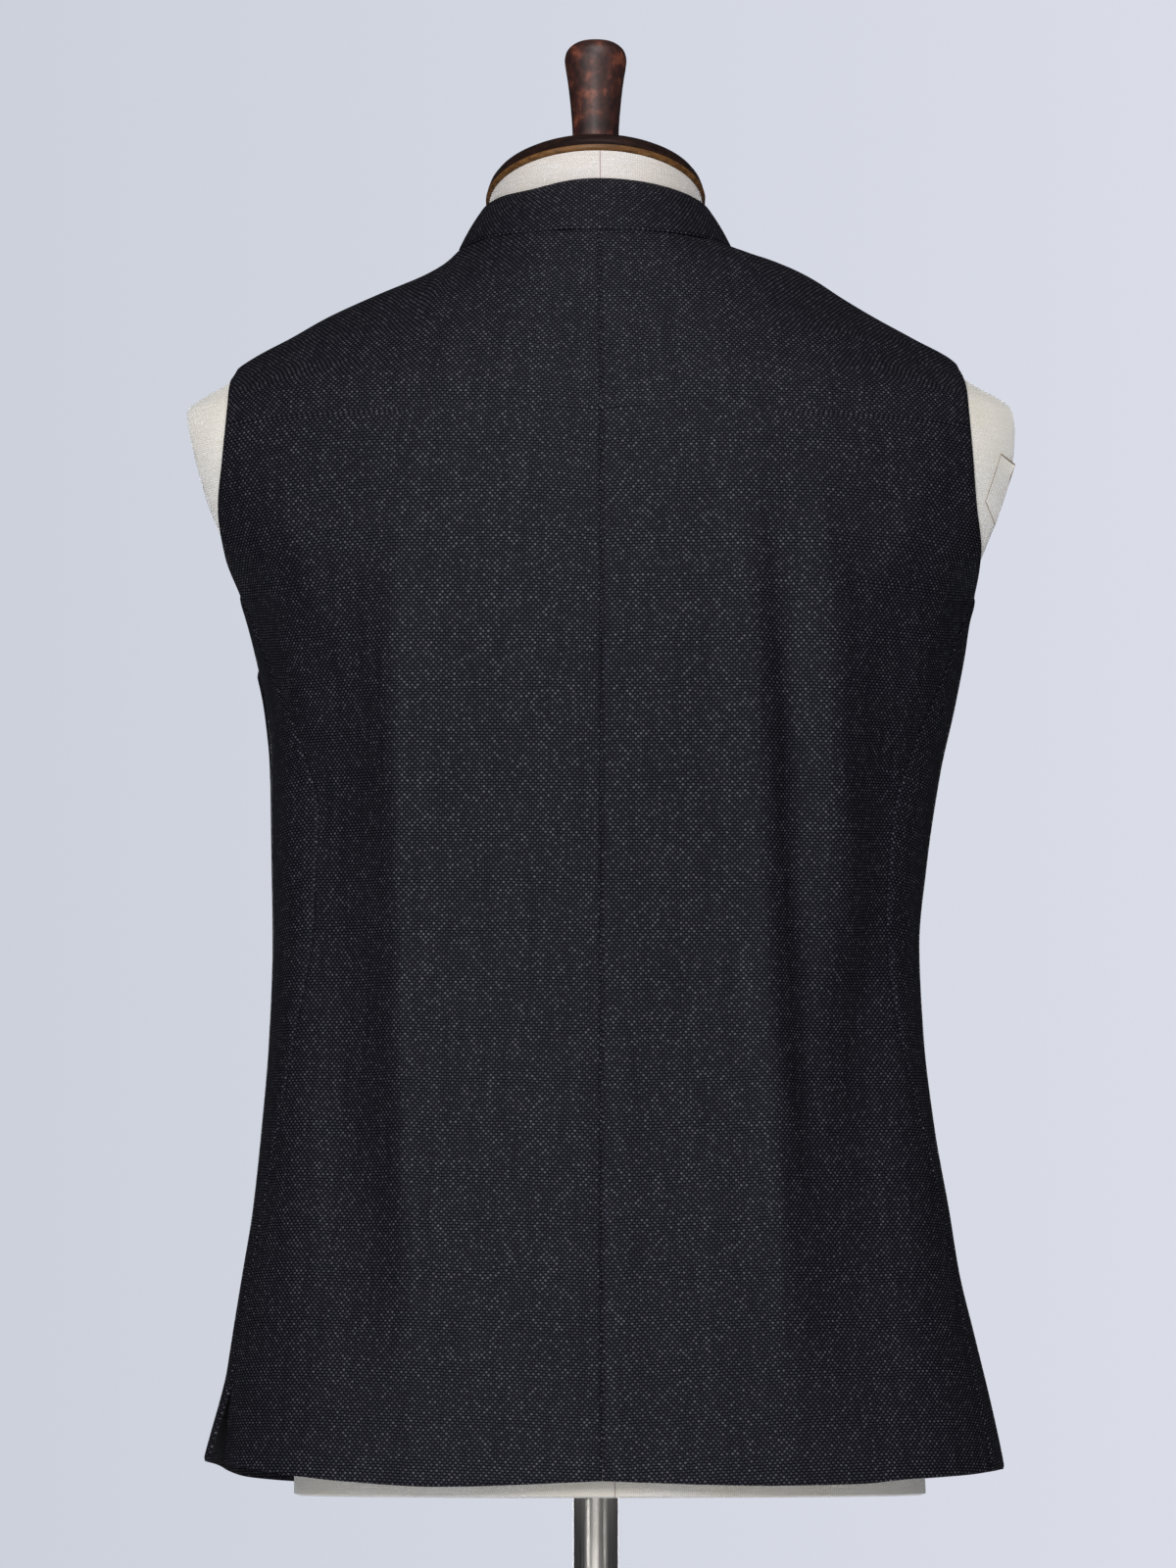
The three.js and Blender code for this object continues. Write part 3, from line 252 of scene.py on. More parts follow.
def ring_normal(side, turn, z):
    along = ring_point(side, turn + 0.02, z) - ring_point(side, turn - 0.02, z)
    up = ring_point(side, turn, z + 2) - ring_point(side, turn, z - 2)
    return unit(np.cross(along, up) * -side)


def turn_at(side, x, z, is_back):
    square = section["square_back"](z) if is_back else section["square_front"](z)
    turn = np.arcsin(np.minimum(np.abs(x) / half_width[side](z), 1) ** (square / 2))
    return turn if is_back else PI - turn


ARC_STEP = 4.0
ARC_Z = np.arange(836, 1562, ARC_STEP)
ARC_TURNS = np.linspace(0, PI, 721)
ARCS = {}
for hand in (LEFT, RIGHT):
    ring = ring_point(hand, ARC_TURNS[None, :], ARC_Z[:, None])
    steps = np.linalg.norm(np.diff(ring, axis=1), axis=-1)
    ARCS[hand] = np.concatenate([np.zeros((len(ARC_Z), 1)), np.cumsum(steps, axis=1)], axis=1)


def arc_of(side, turn, z):
    """Distance along the half section from the centre back."""
    turn, z = np.broadcast_arrays(np.asarray(turn, float), np.asarray(z, float))
    row = np.clip((z - ARC_Z[0]) / ARC_STEP, 0, len(ARC_Z) - 1.001)
    col = np.clip(turn / ARC_TURNS[1], 0, len(ARC_TURNS) - 1.0000001)
    i, j = row.astype(int), col.astype(int)
    return between(ARCS[side], i, j, row - i, col - j)


def bisect(like, low, high, falls_short, steps):
    """The places between low and high, one for each of like, up to which falls_short holds."""
    low, high = np.full_like(like, low), np.full_like(like, high)
    for _ in range(steps):
        middle = (low + high) / 2
        short = falls_short(middle)
        low, high = np.where(short, middle, low), np.where(short, high, middle)
    return (low + high) / 2


def turn_of(side, arc, z):
    return bisect(arc, 0.0, PI, lambda turn: arc_of(side, turn, z) < arc, 26)


def ridge_height(side, x):
    """Height of the shoulder line where the section is x wide."""
    return bisect(x, NECK_FRONT_Z, SHOULDER_NECK_Z, lambda z: half_width[side](z) > x, 30)


def top_line(side, share, neck_share, is_back):
    """The neckline and then the shoulder seam: share is 0 at the centre and 1 at the shoulder tip."""
    angle = PI / 2 * np.minimum(share / neck_share, 1)
    drop = (NECK_BACK_Z if is_back else NECK_FRONT_Z) - SHOULDER_NECK_Z
    on_neck = share < neck_share
    x = lerp(NECK_HALF_WIDTH, SHOULDER_TIP[side], np.clip((share - neck_share) / (1 - neck_share), 0, 1))
    return (np.where(on_neck, NECK_HALF_WIDTH * np.sin(angle), x),
            np.where(on_neck, SHOULDER_NECK_Z + drop * np.cos(angle) ** 2, ridge_height(side, x)))


def fold_lift(points):
    x, y, z = np.moveaxis(points, -1, 0)
    face = np.where(y >= section["widest"](z), 1, -1)
    lift = np.zeros_like(x)
    for fold_face, top_x, top_z, low_x, low_z, width, height in FOLDS + CREASES:
        down = (top_z - z) / (top_z - low_z)
        fade = smoothstep(down, -0.12, 0.2) * (1 - smoothstep(down, 0.75, 1.12))
        across = (x - lerp(top_x, low_x, down)) / width
        lift += np.where(face == fold_face, height * fade * np.exp(-across * across), 0)
    return lift


RIPPLES = np.random.default_rng(11).uniform(-1, 1, (14, 4))


def soft_ripple(points):
    """Slight unevenness of worn cloth, about half a millimetre deep and mostly running up and down."""
    x, y, z = np.moveaxis(points, -1, 0)
    round_body = np.arctan2(x, y) * 130
    total = np.zeros_like(x)
    for a, b, phase, size in RIPPLES:
        wave = round_body * (0.09 + 0.05 * a) + z * 0.022 * b
        total += (0.6 + 0.4 * size) * np.sin(wave + phase * PI + 1.5 * np.sin(z * 0.011 + b * 3))
    return total * 0.11


# ---- Grids of points for the cloth pieces --------------------------------------------------------

FINE_ENDS = np.array([0, 0.45, 1.0, 1.7, 2.6, 3.9, 5.6])


def stations(length, step=2.9, low=True, high=True):
    """Places from 0 to 1, close together towards an end where the cloth rolls over."""
    start = FINE_ENDS if low else np.array([0.0])
    end = length - (FINE_ENDS if high else np.array([0.0]))[::-1]
    count = max(2, int(round((end[0] - start[-1]) / step)))
    return np.concatenate([start[:-1], np.linspace(start[-1], end[0], count + 1), end[1:]]) / length


def front_extra(side, from_centre, to_seam, z):
    """The right front dips under the lap, and the vent's edge stands away from the back."""
    under = -LAP_STEP * (1 - smoothstep(from_centre, *LAP_RAMP)) if side == RIGHT else 0
    opening = (1 - smoothstep(z, FRONT_HEM[0][1], VENT_TOP_Z)) ** 0.8
    return under + VENT_SPLAY[side] * opening * (1 - smoothstep(to_seam, 0, VENT_SPLAY_WIDTH))


def on_body(side, turn, z, extra=0, mirrored=None):
    """Points on the garment's outer face with their normals."""
    point, normal = ring_point(side, turn, z), ring_normal(side, turn, z)
    if mirrored is not None:
        point[..., 0] = np.where(mirrored, -point[..., 0], point[..., 0])
        normal[..., 0] = np.where(mirrored, -normal[..., 0], normal[..., 0])
    lift = fold_lift(point) + extra + soft_ripple(point)
    return point + normal * lift[..., None], normal


def shoulder_turn(side, share, down, top, low_turn, limit, edge, low_z, is_back):
    """Turns of the rows between the yoke and the shoulder, evenly spread up to the seam and the armhole."""
    top_turn = turn_at(side, *top, is_back)
    edge_z = lerp(top[1][..., -1:], low_z, down ** 2)
    at_edge = turn_at(side, edge(edge_z), edge_z, is_back)
    turn = lerp(top_turn, low_turn[None, :], down) + share ** 6 * (at_edge - lerp(PI / 2, low_turn[-1], down))
    return np.minimum(turn, limit) if is_back else np.maximum(turn, limit)


def back_grid(side):
    share = stations(215)
    low = lerp(back_hem[side](share), UNDERARM_Z, stations(490, high=False)[:, None])
    armhole = lerp(UNDERARM_Z, YOKE_Z, np.linspace(0, 1, 33)[1:, None])
    z = np.vstack([low, np.broadcast_to(armhole, (len(armhole), len(share)))])
    end = arc_of(side, turn_at(side, back_edge[side](z), z, True), z) - HALF_GAP
    turn = turn_of(side, lerp(HALF_GAP, end, share[None, :]), z)
    yoke_x = np.abs(ring_point(side, turn[-1], z[-1])[:, 0])
    up = stations(95, low=False)[1:]
    down = (1 - up)[:, None]
    s = share[None, :]
    top_x, top_z = top_line(side, s, BACK_NECK_SHARE, True)
    yoke_z = lerp(top_z, YOKE_Z, down ** lerp(1, 2, smoothstep(s, 0.04, 0.34)))
    to_edge = s ** 6 * (back_edge[side](yoke_z) - lerp(SHOULDER_TIP[side], yoke_x[-1], down))
    x = np.maximum(HALF_GAP, lerp(top_x, yoke_x[None, :], down) + to_edge)
    limit = PI / 2 - HALF_GAP / section["back"](yoke_z)
    by_x = np.minimum(turn_at(side, x, yoke_z, True), limit)
    yoke_turn = shoulder_turn(side, s, down, (top_x, top_z), turn[-1], limit, back_edge[side], YOKE_Z, True)
    yoke_turn = lerp(by_x, yoke_turn, smoothstep(s, 0.3, 0.62))
    yoke_turn[-1] = np.where(share >= BACK_NECK_SHARE, limit[-1], yoke_turn[-1])
    z, turn = np.vstack([z, yoke_z]), np.vstack([turn, yoke_turn])
    point, normal = on_body(side, turn, z)
    mask = np.ones(z.shape, bool)
    side_line, side_z = point[:, -1], z[:, -1]
    seams = [point[:, 0], point[-1], side_line[(side_z >= VENT_TOP_Z) & (side_z <= UNDERARM_Z)]]
    edges = [point[0], side_line[side_z < VENT_TOP_Z], side_line[side_z > UNDERARM_Z]]
    return point, normal, mask, seams, edges


def underarm_height(share):
    dip = np.where(share < 0.5, smoothstep(share, 0, 0.5), 1 - smoothstep(share, 0.5, 1))
    return lerp(lerp(CHEST_Z, UNDERARM_Z, smoothstep(share, 0.3, 1)), ARMHOLE_LOW_Z, dip)


def front_arc(side, share, z):
    total = arc_of(side, PI, z)
    seam = total - arc_of(side, turn_at(side, back_edge[side](z), z, True), z) - HALF_GAP
    chest_turn = turn_at(side, front_edge[side](CHEST_Z), CHEST_Z, False)
    chest = total - arc_of(side, chest_turn, CHEST_Z)
    middle = lerp(seam * CHEST_SHARE, chest, smoothstep(z, 900, CHEST_Z))
    inner = lerp(-LAP, middle, share / CHEST_SHARE)
    return np.where(share <= CHEST_SHARE, inner, lerp(middle, seam, (share - CHEST_SHARE) / (1 - CHEST_SHARE)))


def front_low(side, share, z, drop=0):
    """Points of a front below the chest row. drop moves them inwards, for what lies behind the cloth."""
    share, z = np.broadcast_arrays(share, z)
    arc = front_arc(side, share, z)
    total = arc_of(side, PI, z)
    seam = total - arc_of(side, turn_at(side, back_edge[side](z), z, True), z)
    extra = front_extra(side, arc, seam - arc, z) - drop
    return on_body(side, turn_of(side, total - np.abs(arc), z), z, extra, arc < 0)


def front_low_z(side, share, row):
    top = np.where(share <= CHEST_SHARE, CHEST_Z, underarm_height((share - CHEST_SHARE) / (1 - CHEST_SHARE)))
    return lerp(front_hem[side](share), top, row)


def front_grid(side):
    inner = stations(215) * CHEST_SHARE
    outer = CHEST_SHARE + stations(95)[1:] * (1 - CHEST_SHARE)
    share = np.concatenate([inner, outer])
    chest = len(inner)
    rows = stations(480)[:, None]
    z = front_low_z(side, share[None, :], rows)
    low, low_normal = front_low(side, share[None, :], z)
    place = share[:chest] * FRONT_COLUMNS
    chest_x = side * ring_point(side, turn_of(side, *chest_row(side, share[:chest])), CHEST_Z)[:, 0]
    chest_x = np.where(place < FRONT_COLUMNS * lap_share(side), -np.abs(chest_x), chest_x)
    up = stations(190, low=False)[1:][:, None]
    part = np.maximum(0, (place - 1) / (FRONT_CHEST_COLUMNS - 1))[None, :]
    top_x, top_z = top_line(side, part, FRONT_NECK_SHARE, False)
    lap = np.clip(1 - place, 0, 1)[None, :]
    top_x, top_z = lerp(top_x, -LAP, lap), top_z + 1.5 * lap
    bend = smoothstep(part, 0.06, FRONT_NECK_SHARE)
    yoke_z = lerp(CHEST_Z, top_z, 1 - (1 - up) ** lerp(1, 2, bend))
    to_edge = part ** 6 * (front_edge[side](yoke_z) - lerp(chest_x[-1], SHOULDER_TIP[side], up))
    x = lerp(chest_x[None, :], top_x, up) + to_edge
    limit = PI / 2 + HALF_GAP / section["front"](yoke_z)
    by_x = np.maximum(limit, turn_at(side, x, yoke_z, False))
    chest_turn = turn_at(side, chest_x, np.full_like(chest_x, float(CHEST_Z)), False)
    turn = shoulder_turn(side, part, 1 - up, (top_x, top_z), chest_turn, limit, front_edge[side], CHEST_Z, False)
    turn = lerp(by_x, turn, smoothstep(part, 0.4, 0.75))
    turn[-1] = np.where(part[0] >= FRONT_NECK_SHARE, limit[-1], turn[-1])
    extra = front_extra(side, x, np.full_like(x, VENT_SPLAY_WIDTH), yoke_z)
    high, high_normal = on_body(side, turn, yoke_z, extra, x < 0)
    beside = ((0, 0), (0, len(share) - chest), (0, 0))  # above the chest row the outer columns are empty
    point, normal = np.vstack([low, np.pad(high, beside)]), np.vstack([low_normal, np.pad(high_normal, beside)])
    mask = np.vstack([np.ones(z.shape, bool), np.pad(np.ones(yoke_z.shape, bool), beside[:2])])
    side_z = z[:, -1]
    seams = [high[-1], low[side_z >= VENT_TOP_Z, -1]]
    edges = [low[:, 0], high[:, 0], low[0], low[side_z < VENT_TOP_Z, -1], low[-1, chest - 1:], high[:, -1]]
    return point, normal, mask, seams, edges


def lap_share(side):
    """Share of the front's columns that lie past the centre front at the chest row."""
    arc = front_arc(side, np.array([0.0, CHEST_SHARE]), np.full(2, float(CHEST_Z)))
    return -arc[0] / (arc[1] - arc[0]) * CHEST_SHARE


def chest_row(side, share):
    """Distance along the half section from the centre back, and the height, at the chest row."""
    z = np.full_like(share, float(CHEST_Z))
    return arc_of(side, PI, z) - np.abs(front_arc(side, share, z)), z


def neck_point(ring, angle, inset=0):
    """A point of a ring round the neck: angle is 0 at the centre back and PI at the centre front."""
    width, back, front, z_back, z_side, z_front = ring
    c = np.cos(angle)
    depth = np.where(c >= 0, back, front) - inset
    z = z_side + (np.where(c >= 0, z_back, z_front) - z_side) * c * c
    return np.stack([(width - inset) * np.sin(angle), depth * c, z], -1)


def neckline_point(angle):
    """The panels' neckline, which the collar stands on."""
    flat = neck_point(COLLAR_SEAM, angle)
    result = np.zeros_like(flat)
    for side in (LEFT, RIGHT):
        for is_back in (True, False):
            here = ((angle < 0) == (side == RIGHT)) & ((np.abs(angle) <= PI / 2) == is_back)
            if not here.any():
                continue
            x, z = flat[here][:, 0], flat[here][:, 2]
            turn = turn_at(side, x, z, is_back)
            point, normal = ring_point(side, turn, z), ring_normal(side, turn, z)
            extra = 0 if is_back else front_extra(side, np.abs(x), np.full_like(x, VENT_SPLAY_WIDTH), z)
            result[here] = point + normal * np.reshape(extra * np.ones_like(x), (-1, 1))
    return result


def collar_grid():
    end = PI - COLLAR_END / COLLAR_SEAM[2]
    angle = np.clip(lerp(-PI, PI, stations(480, 2.6)), -end, end)
    angle = np.unique(angle)
    low, high = neckline_point(angle), neck_point(COLLAR_TOP, angle)
    slope = high - low
    height = np.linalg.norm(slope, axis=-1)
    slope = unit(slope)
    tangent = unit(neck_point(COLLAR_SEAM, angle + 0.01) - neck_point(COLLAR_SEAM, angle - 0.01))
    normal = unit(np.cross(slope, tangent))
    normal *= np.where((normal * low)[:, :2].sum(-1) < 0, -1, 1)[:, None]
    dip = COLLAR_DIP[2] * np.exp(-(((angle - COLLAR_DIP[0]) / COLLAR_DIP[1]) ** 2))
    corner = np.maximum(0, COLLAR_CORNER - (end - np.abs(angle)) * COLLAR_TOP[2])
    cut = COLLAR_CORNER - np.sqrt(COLLAR_CORNER ** 2 - corner ** 2)
    up = stations(36, 2.0)[:, None]
    along = lerp(COLLAR_LIFT, height - cut - dip, up)
    bulge = COLLAR_BULGE * np.sin(PI * up)
    point = low + slope * along[..., None] + normal * bulge[..., None]
    mask = np.ones(point.shape[:2], bool)
    return point, np.broadcast_to(normal, point.shape), mask, [point[0]], [point[-1], point[:, 0], point[:, -1]]


# ---- Meshes --------------------------------------------------------------------------------------


def calm():
    """Deselects everything, so that the next operator acts on its own piece alone."""
    if bpy.context.object and bpy.context.object.mode != "OBJECT":
        bpy.ops.object.mode_set(mode="OBJECT")
    bpy.ops.object.select_all(action="DESELECT")


def active(obj):
    calm()
    bpy.context.view_layer.objects.active = obj
    obj.select_set(True)


def shade_smooth(obj, degrees):
    """Smooth shading, except at edges that turn more sharply."""
    active(obj)
    bpy.ops.object.shade_smooth_by_angle(angle=math.radians(degrees))
    return obj


def mesh_piece(name, points, faces, materials=()):
    mesh = bpy.data.meshes.new(name)
    mesh.from_pydata([tuple(p) for p in np.asarray(points) * MM], [], faces)
    mesh.update()
    obj = bpy.data.objects.new(name, mesh)
    bpy.context.scene.collection.objects.link(obj)
    for material in materials:
        mesh.materials.append(material)
    return obj


def nearest(lines, points):
    """Distance from each point to the nearest of the lines, which are rows of points."""
    dense = []
    for line in lines:
        if len(line) < 2:
            continue
        for t in np.linspace(0, 1, 6)[:-1]:
            dense.append(lerp(line[:-1], line[1:], t))
        dense.append(line[-1:])
    dense = np.concatenate(dense)
    tree = kdtree.KDTree(len(dense))
    for i, p in enumerate(dense):
        tree.insert(p, i)
    tree.balance()
    return np.array([tree.find(p)[2] for p in points])


def pattern_piece(point, mask):
    """Lays a piece flat. Gives each grid point its place on the cut in metres, and the cut's size and area.

    The unwrapping runs on every fourth row and column, and the rest is interpolated.
    """

    def chosen(changes, count):
        return np.unique(np.concatenate([np.arange(0, count, 4), [count - 1], changes, changes + 1]))

    row_pick = chosen(np.flatnonzero((mask[1:] != mask[:-1]).any(1)), mask.shape[0])
    col_pick = chosen(np.flatnonzero((mask[:, 1:] != mask[:, :-1]).any(0)), mask.shape[1])
    some, here = point[np.ix_(row_pick, col_pick)], mask[np.ix_(row_pick, col_pick)]
    paper = mesh_piece("paper", some[here], grid_quads(here).tolist())
    active(paper)
    bpy.ops.object.mode_set(mode="EDIT")
    bpy.ops.mesh.select_all(action="SELECT")
    bpy.ops.uv.unwrap(method="ANGLE_BASED", fill_holes=False, margin=0)
    bpy.ops.object.mode_set(mode="OBJECT")
    mesh = paper.data
    corner, uv = np.empty(len(mesh.loops), int), np.empty(len(mesh.loops) * 2)
    mesh.loops.foreach_get("vertex_index", corner)
    mesh.uv_layers.active.data.foreach_get("uv", uv)
    flat = np.zeros((len(mesh.vertices), 2))
    flat[corner] = uv.reshape(-1, 2)
    bpy.data.meshes.remove(mesh)
    # The grain follows the height, and the piece is scaled to the cloth's own area.
    solid = some[here] * MM
    flat -= flat.mean(0)
    grain = unit(np.linalg.lstsq(flat, solid[:, 2] - solid[:, 2].mean(), rcond=None)[0])
    flat = np.stack([flat @ np.array([grain[1], -grain[0]]), flat @ grain], -1)
    quads = grid_quads(here)
    area = np.linalg.norm(np.cross(*diagonals(solid[quads])), axis=-1).sum() / 2
    a, b = diagonals(flat[quads])
    flat *= math.sqrt(area / (np.abs(a[:, 0] * b[:, 1] - a[:, 1] * b[:, 0]).sum() / 2))
    coarse = np.zeros((*here.shape, 2))
    coarse[here] = flat

    def shares(axis, pick):
        step = np.linalg.norm(np.diff(point, axis=axis), axis=-1)
        both = (mask[1:] & mask[:-1]) if axis == 0 else (mask[:, 1:] & mask[:, :-1])
        place = np.concatenate([[0], np.cumsum((step * both).sum(1 - axis) / both.sum(1 - axis))])
        k = np.clip(np.searchsorted(pick, np.arange(len(place)), side="right") - 1, 0, len(pick) - 2)
        return k, (place - place[pick[k]]) / (place[pick[k + 1]] - place[pick[k]])

    (i, s), (j, t) = shares(0, row_pick), shares(1, col_pick)
    place = between(coarse, i[:, None], j[None, :], s[:, None, None], t[None, :, None])[mask]
    return place, [float(v) for v in np.ptp(place, axis=0)], float(area)


def distance_along(line):
    return np.concatenate([[0], np.cumsum(np.linalg.norm(np.diff(line, axis=0), axis=-1))])


def straight_strip(point, mask):
    """The cut of a narrow strip: its length and its height, without the bend that it is worn with."""
    middle = point.shape[0] // 2, point.shape[1] // 2
    along, up = distance_along(point[middle[0]]) * MM, distance_along(point[:, middle[1]]) * MM
    place = np.stack(np.broadcast_arrays(along[None, :], up[:, None]), -1)[mask]
    return place, [float(along[-1]), float(up[-1])], float(along[-1] * up[-1])


def diagonals(corners):
    return corners[:, 2] - corners[:, 0], corners[:, 3] - corners[:, 1]


def grid_quads(mask):
    index = np.full(mask.shape, -1)
    index[mask] = np.arange(mask.sum())
    whole = mask[:-1, :-1] & mask[1:, :-1] & mask[:-1, 1:] & mask[1:, 1:]
    return np.stack([index[:-1, :-1], index[:-1, 1:], index[1:, 1:], index[1:, :-1]], -1)[whole]


def facing_out(points, quads, out):
    """The faces, turned round if they point against the outward directions."""
    facing = np.cross(*diagonals(points[quads]))
    return quads[:, ::-1] if (facing * out[quads][:, 0]).sum() < 0 else quads


def walled(name, skin, inner, quads, place, finish, materials, angle):
    """A closed sheet: skin, inner face and rim. place is each point's place on the cut, finish the materials."""
    count = len(skin)
    sides = np.concatenate([quads[:, [i, (i + 1) % 4]] for i in range(4)])
    rim = sides[~np.isin(sides @ np.array([count, 1]), sides @ np.array([1, count]))]
    rim = np.stack([rim[:, 0], rim[:, 0] + count, rim[:, 1] + count, rim[:, 1]], -1)
    groups = quads, quads[:, ::-1] + count, rim
    faces = np.concatenate(groups)
    finish = np.concatenate([np.broadcast_to(part, len(group)) for part, group in zip(finish, groups)])
    obj = mesh_piece(name, np.concatenate([skin, inner]), faces.tolist(), materials)
    obj.data.uv_layers.new(name="cut").data.foreach_set("uv", place[faces.ravel() % count].ravel())
    obj.data.polygons.foreach_set("material_index", finish)
    obj.data.update()
    return shade_smooth(obj, angle)


def cloth_sheet(name, grid, materials, held, rests_on, thickness=CLOTH, seam_roll=0.9, edge_roll=0.8,
                lay_flat=pattern_piece):
    """One cut piece of cloth from a grid of points: its edges roll in, and a wall is made inwards."""
    point, normal, mask, seams, edges = grid
    place, size, area = lay_flat(point, mask)
    place = place + STRETCH_OF_CLOTH * len(bpy.data.meshes)  # each piece comes from its own stretch of cloth
    flat, out = point[mask], normal[mask]
    quads = facing_out(flat, grid_quads(mask), out)
    to_edge = nearest(edges, flat)
    roll = edge_roll * np.exp(-((to_edge / EDGE_REACH) ** 2))
    if seams:
        roll = np.maximum(roll, seam_roll * np.exp(-((nearest(seams, flat) / SEAM_REACH) ** 2)))
    turned = to_edge[quads].mean(1) < TURNED_EDGE  # the outer cloth turns in along the edges
    finish = 0, np.where(turned, 0, len(materials) - 1), 0
    obj = walled(name, flat - out * roll[:, None], flat - out * thickness, quads, place, finish, materials, 50)
    return obj


def lofted(name, rings, material):
    """A closed solid through rings of points, with a UV map of the distance round and the height in metres."""
    count, size = rings.shape[:2]
    i = np.arange(size)
    j, last = (i + 1) % size, (count - 1) * size
    row = np.arange(count - 1)[:, None] * size
    walls = np.stack([row + i, row + j, row + size + j, row + size + i], -1).reshape(-1, 4)
    low, high = np.full(size, count * size), np.full(size, count * size + 1)
    ends = np.stack([np.stack([low, j, i], -1), np.stack([high, last + i, last + j], -1)], 1).reshape(-1, 3)
    points = np.vstack([rings.reshape(-1, 3), rings[0].mean(0), rings[-1].mean(0)])
    around = np.cumsum(np.linalg.norm(np.diff(rings, axis=1, append=rings[:, :1]), axis=-1), axis=1)
    around = np.pad(around, ((0, 0), (1, 0)))
    u = [np.stack([around[:-1, :-1], around[:-1, 1:], around[1:, 1:], around[1:, :-1]], -1).reshape(-1, 4)]
    u.append(np.stack([np.stack([points[low, 0], around[0, 1:], around[0, :-1]], -1),
                       np.stack([points[high, 0], around[-1, :-1], around[-1, 1:]], -1)], 1).reshape(-1, 3))
    v = [points[walls][..., 2], points[ends][..., 2]]
    v[1][:, 0] = points[ends[:, 0], 1]
    uv = np.stack([np.concatenate([part.ravel() for part in axis]) for axis in (u, v)], -1) * MM
    obj = mesh_piece(name, points, walls.tolist() + ends.tolist(), (material,))
    obj.data.uv_layers.new(name="cloth").data.foreach_set("uv", uv.ravel())
    return shade_smooth(obj, 40)


# ---- Materials -----------------------------------------------------------------------------------


def hex_colour(text):
    """An sRGB hex value as linear colour."""
    parts = [int(text[i:i + 2], 16) / 255 for i in (1, 3, 5)]
    return (*(c / 12.92 if c <= 0.04045 else ((c + 0.055) / 1.055) ** 2.4 for c in parts), 1.0)


def connect(node, inputs):
    """Sets a node's inputs. Another node's output is linked, and a whole node lends its first one."""
    for key, value in inputs.items():
        if isinstance(value, bpy.types.Node):
            value = value.outputs[0]
        if isinstance(value, bpy.types.NodeSocket):
            node.id_data.links.new(value, node.inputs[key])
        else:
            node.inputs[key].default_value = value


def add_node(tree, kind, inputs=(), stops=(), **settings):
    """One node with its settings, its inputs by place or name, and the stops of its colour ramp."""
    node = tree.nodes.new("ShaderNode" + kind)
    for key, value in settings.items():
        setattr(node, key, value)
    connect(node, inputs if isinstance(inputs, dict) else dict(enumerate(inputs)))
    if stops:
        elements = node.color_ramp.elements
        for _ in stops[2:]:
            elements.new(0.5)
        for element, (place, colour) in zip(elements, stops):
            element.position, element.color = place, hex_colour(colour)
    return node


def new_material(name, **shader):
    """A material, its Principled shader with the plain values on its own sockets, and its way to add nodes."""
    material = bpy.data.materials.new(name)
    material.use_nodes = True
    tree = material.node_tree
    bsdf = next(n for n in tree.nodes if n.type == "BSDF_PRINCIPLED")
    connect(bsdf, {key.replace("_", " "): value for key, value in shader.items()})
    return material, bsdf, partial(add_node, tree)


def plain_weave(add, coordinates, pitch_u, pitch_v, wobble):
    """Yarns of a plain weave on a UV map in metres: cells, which yarn is on top, the height, and the rows'."""
    noise = add("TexNoise", {"Vector": coordinates, "Scale": 160.0, "Detail": 1.0}).outputs["Color"]
    shift = add("VectorMath", (noise, (0.5, 0.5, 0.5)), operation="SUBTRACT")
    scaled = add("VectorMath", (coordinates, (1 / pitch_u, 1 / pitch_v, 0)), operation="MULTIPLY")
    moved = add("VectorMath", (shift, (wobble,) * 3, scaled), operation="MULTIPLY_ADD")
    cell = add("VectorMath", (moved,), operation="FLOOR")
    inside = add("SeparateXYZ", (add("VectorMath", (moved,), operation="FRACTION"),)).outputs
    column, row, _ = add("SeparateXYZ", (cell,)).outputs
    parity = add("Math", (add("Math", (column, row), operation="ADD"), 2.0), operation="FLOORED_MODULO")
    angles = [add("Math", (inside[i], PI), operation="MULTIPLY") for i in (0, 1)]
    bumps = [add("Math", (angle,), operation="SINE") for angle in angles]
    across, along = (add("Mix", {0: parity, 2: bumps[i], 3: bumps[1 - i]}) for i in (0, 1))
    crown = add("Math", (along, 0.55, 0.45), operation="MULTIPLY_ADD")
    height = add("Math", (add("Math", (across, 0.6), operation="POWER"), crown), operation="MULTIPLY")
    return cell, parity, height, bumps[1]


def streaks(add, coordinates, stretch, detail, roughness=0.5):
    """Noise drawn out along the grain: stretch is its scale along each axis."""
    stretched = add("VectorMath", (coordinates, stretch), operation="MULTIPLY")
    return add("TexNoise", {"Vector": stretched, "Scale": 1.0, "Detail": detail, "Roughness": roughness})


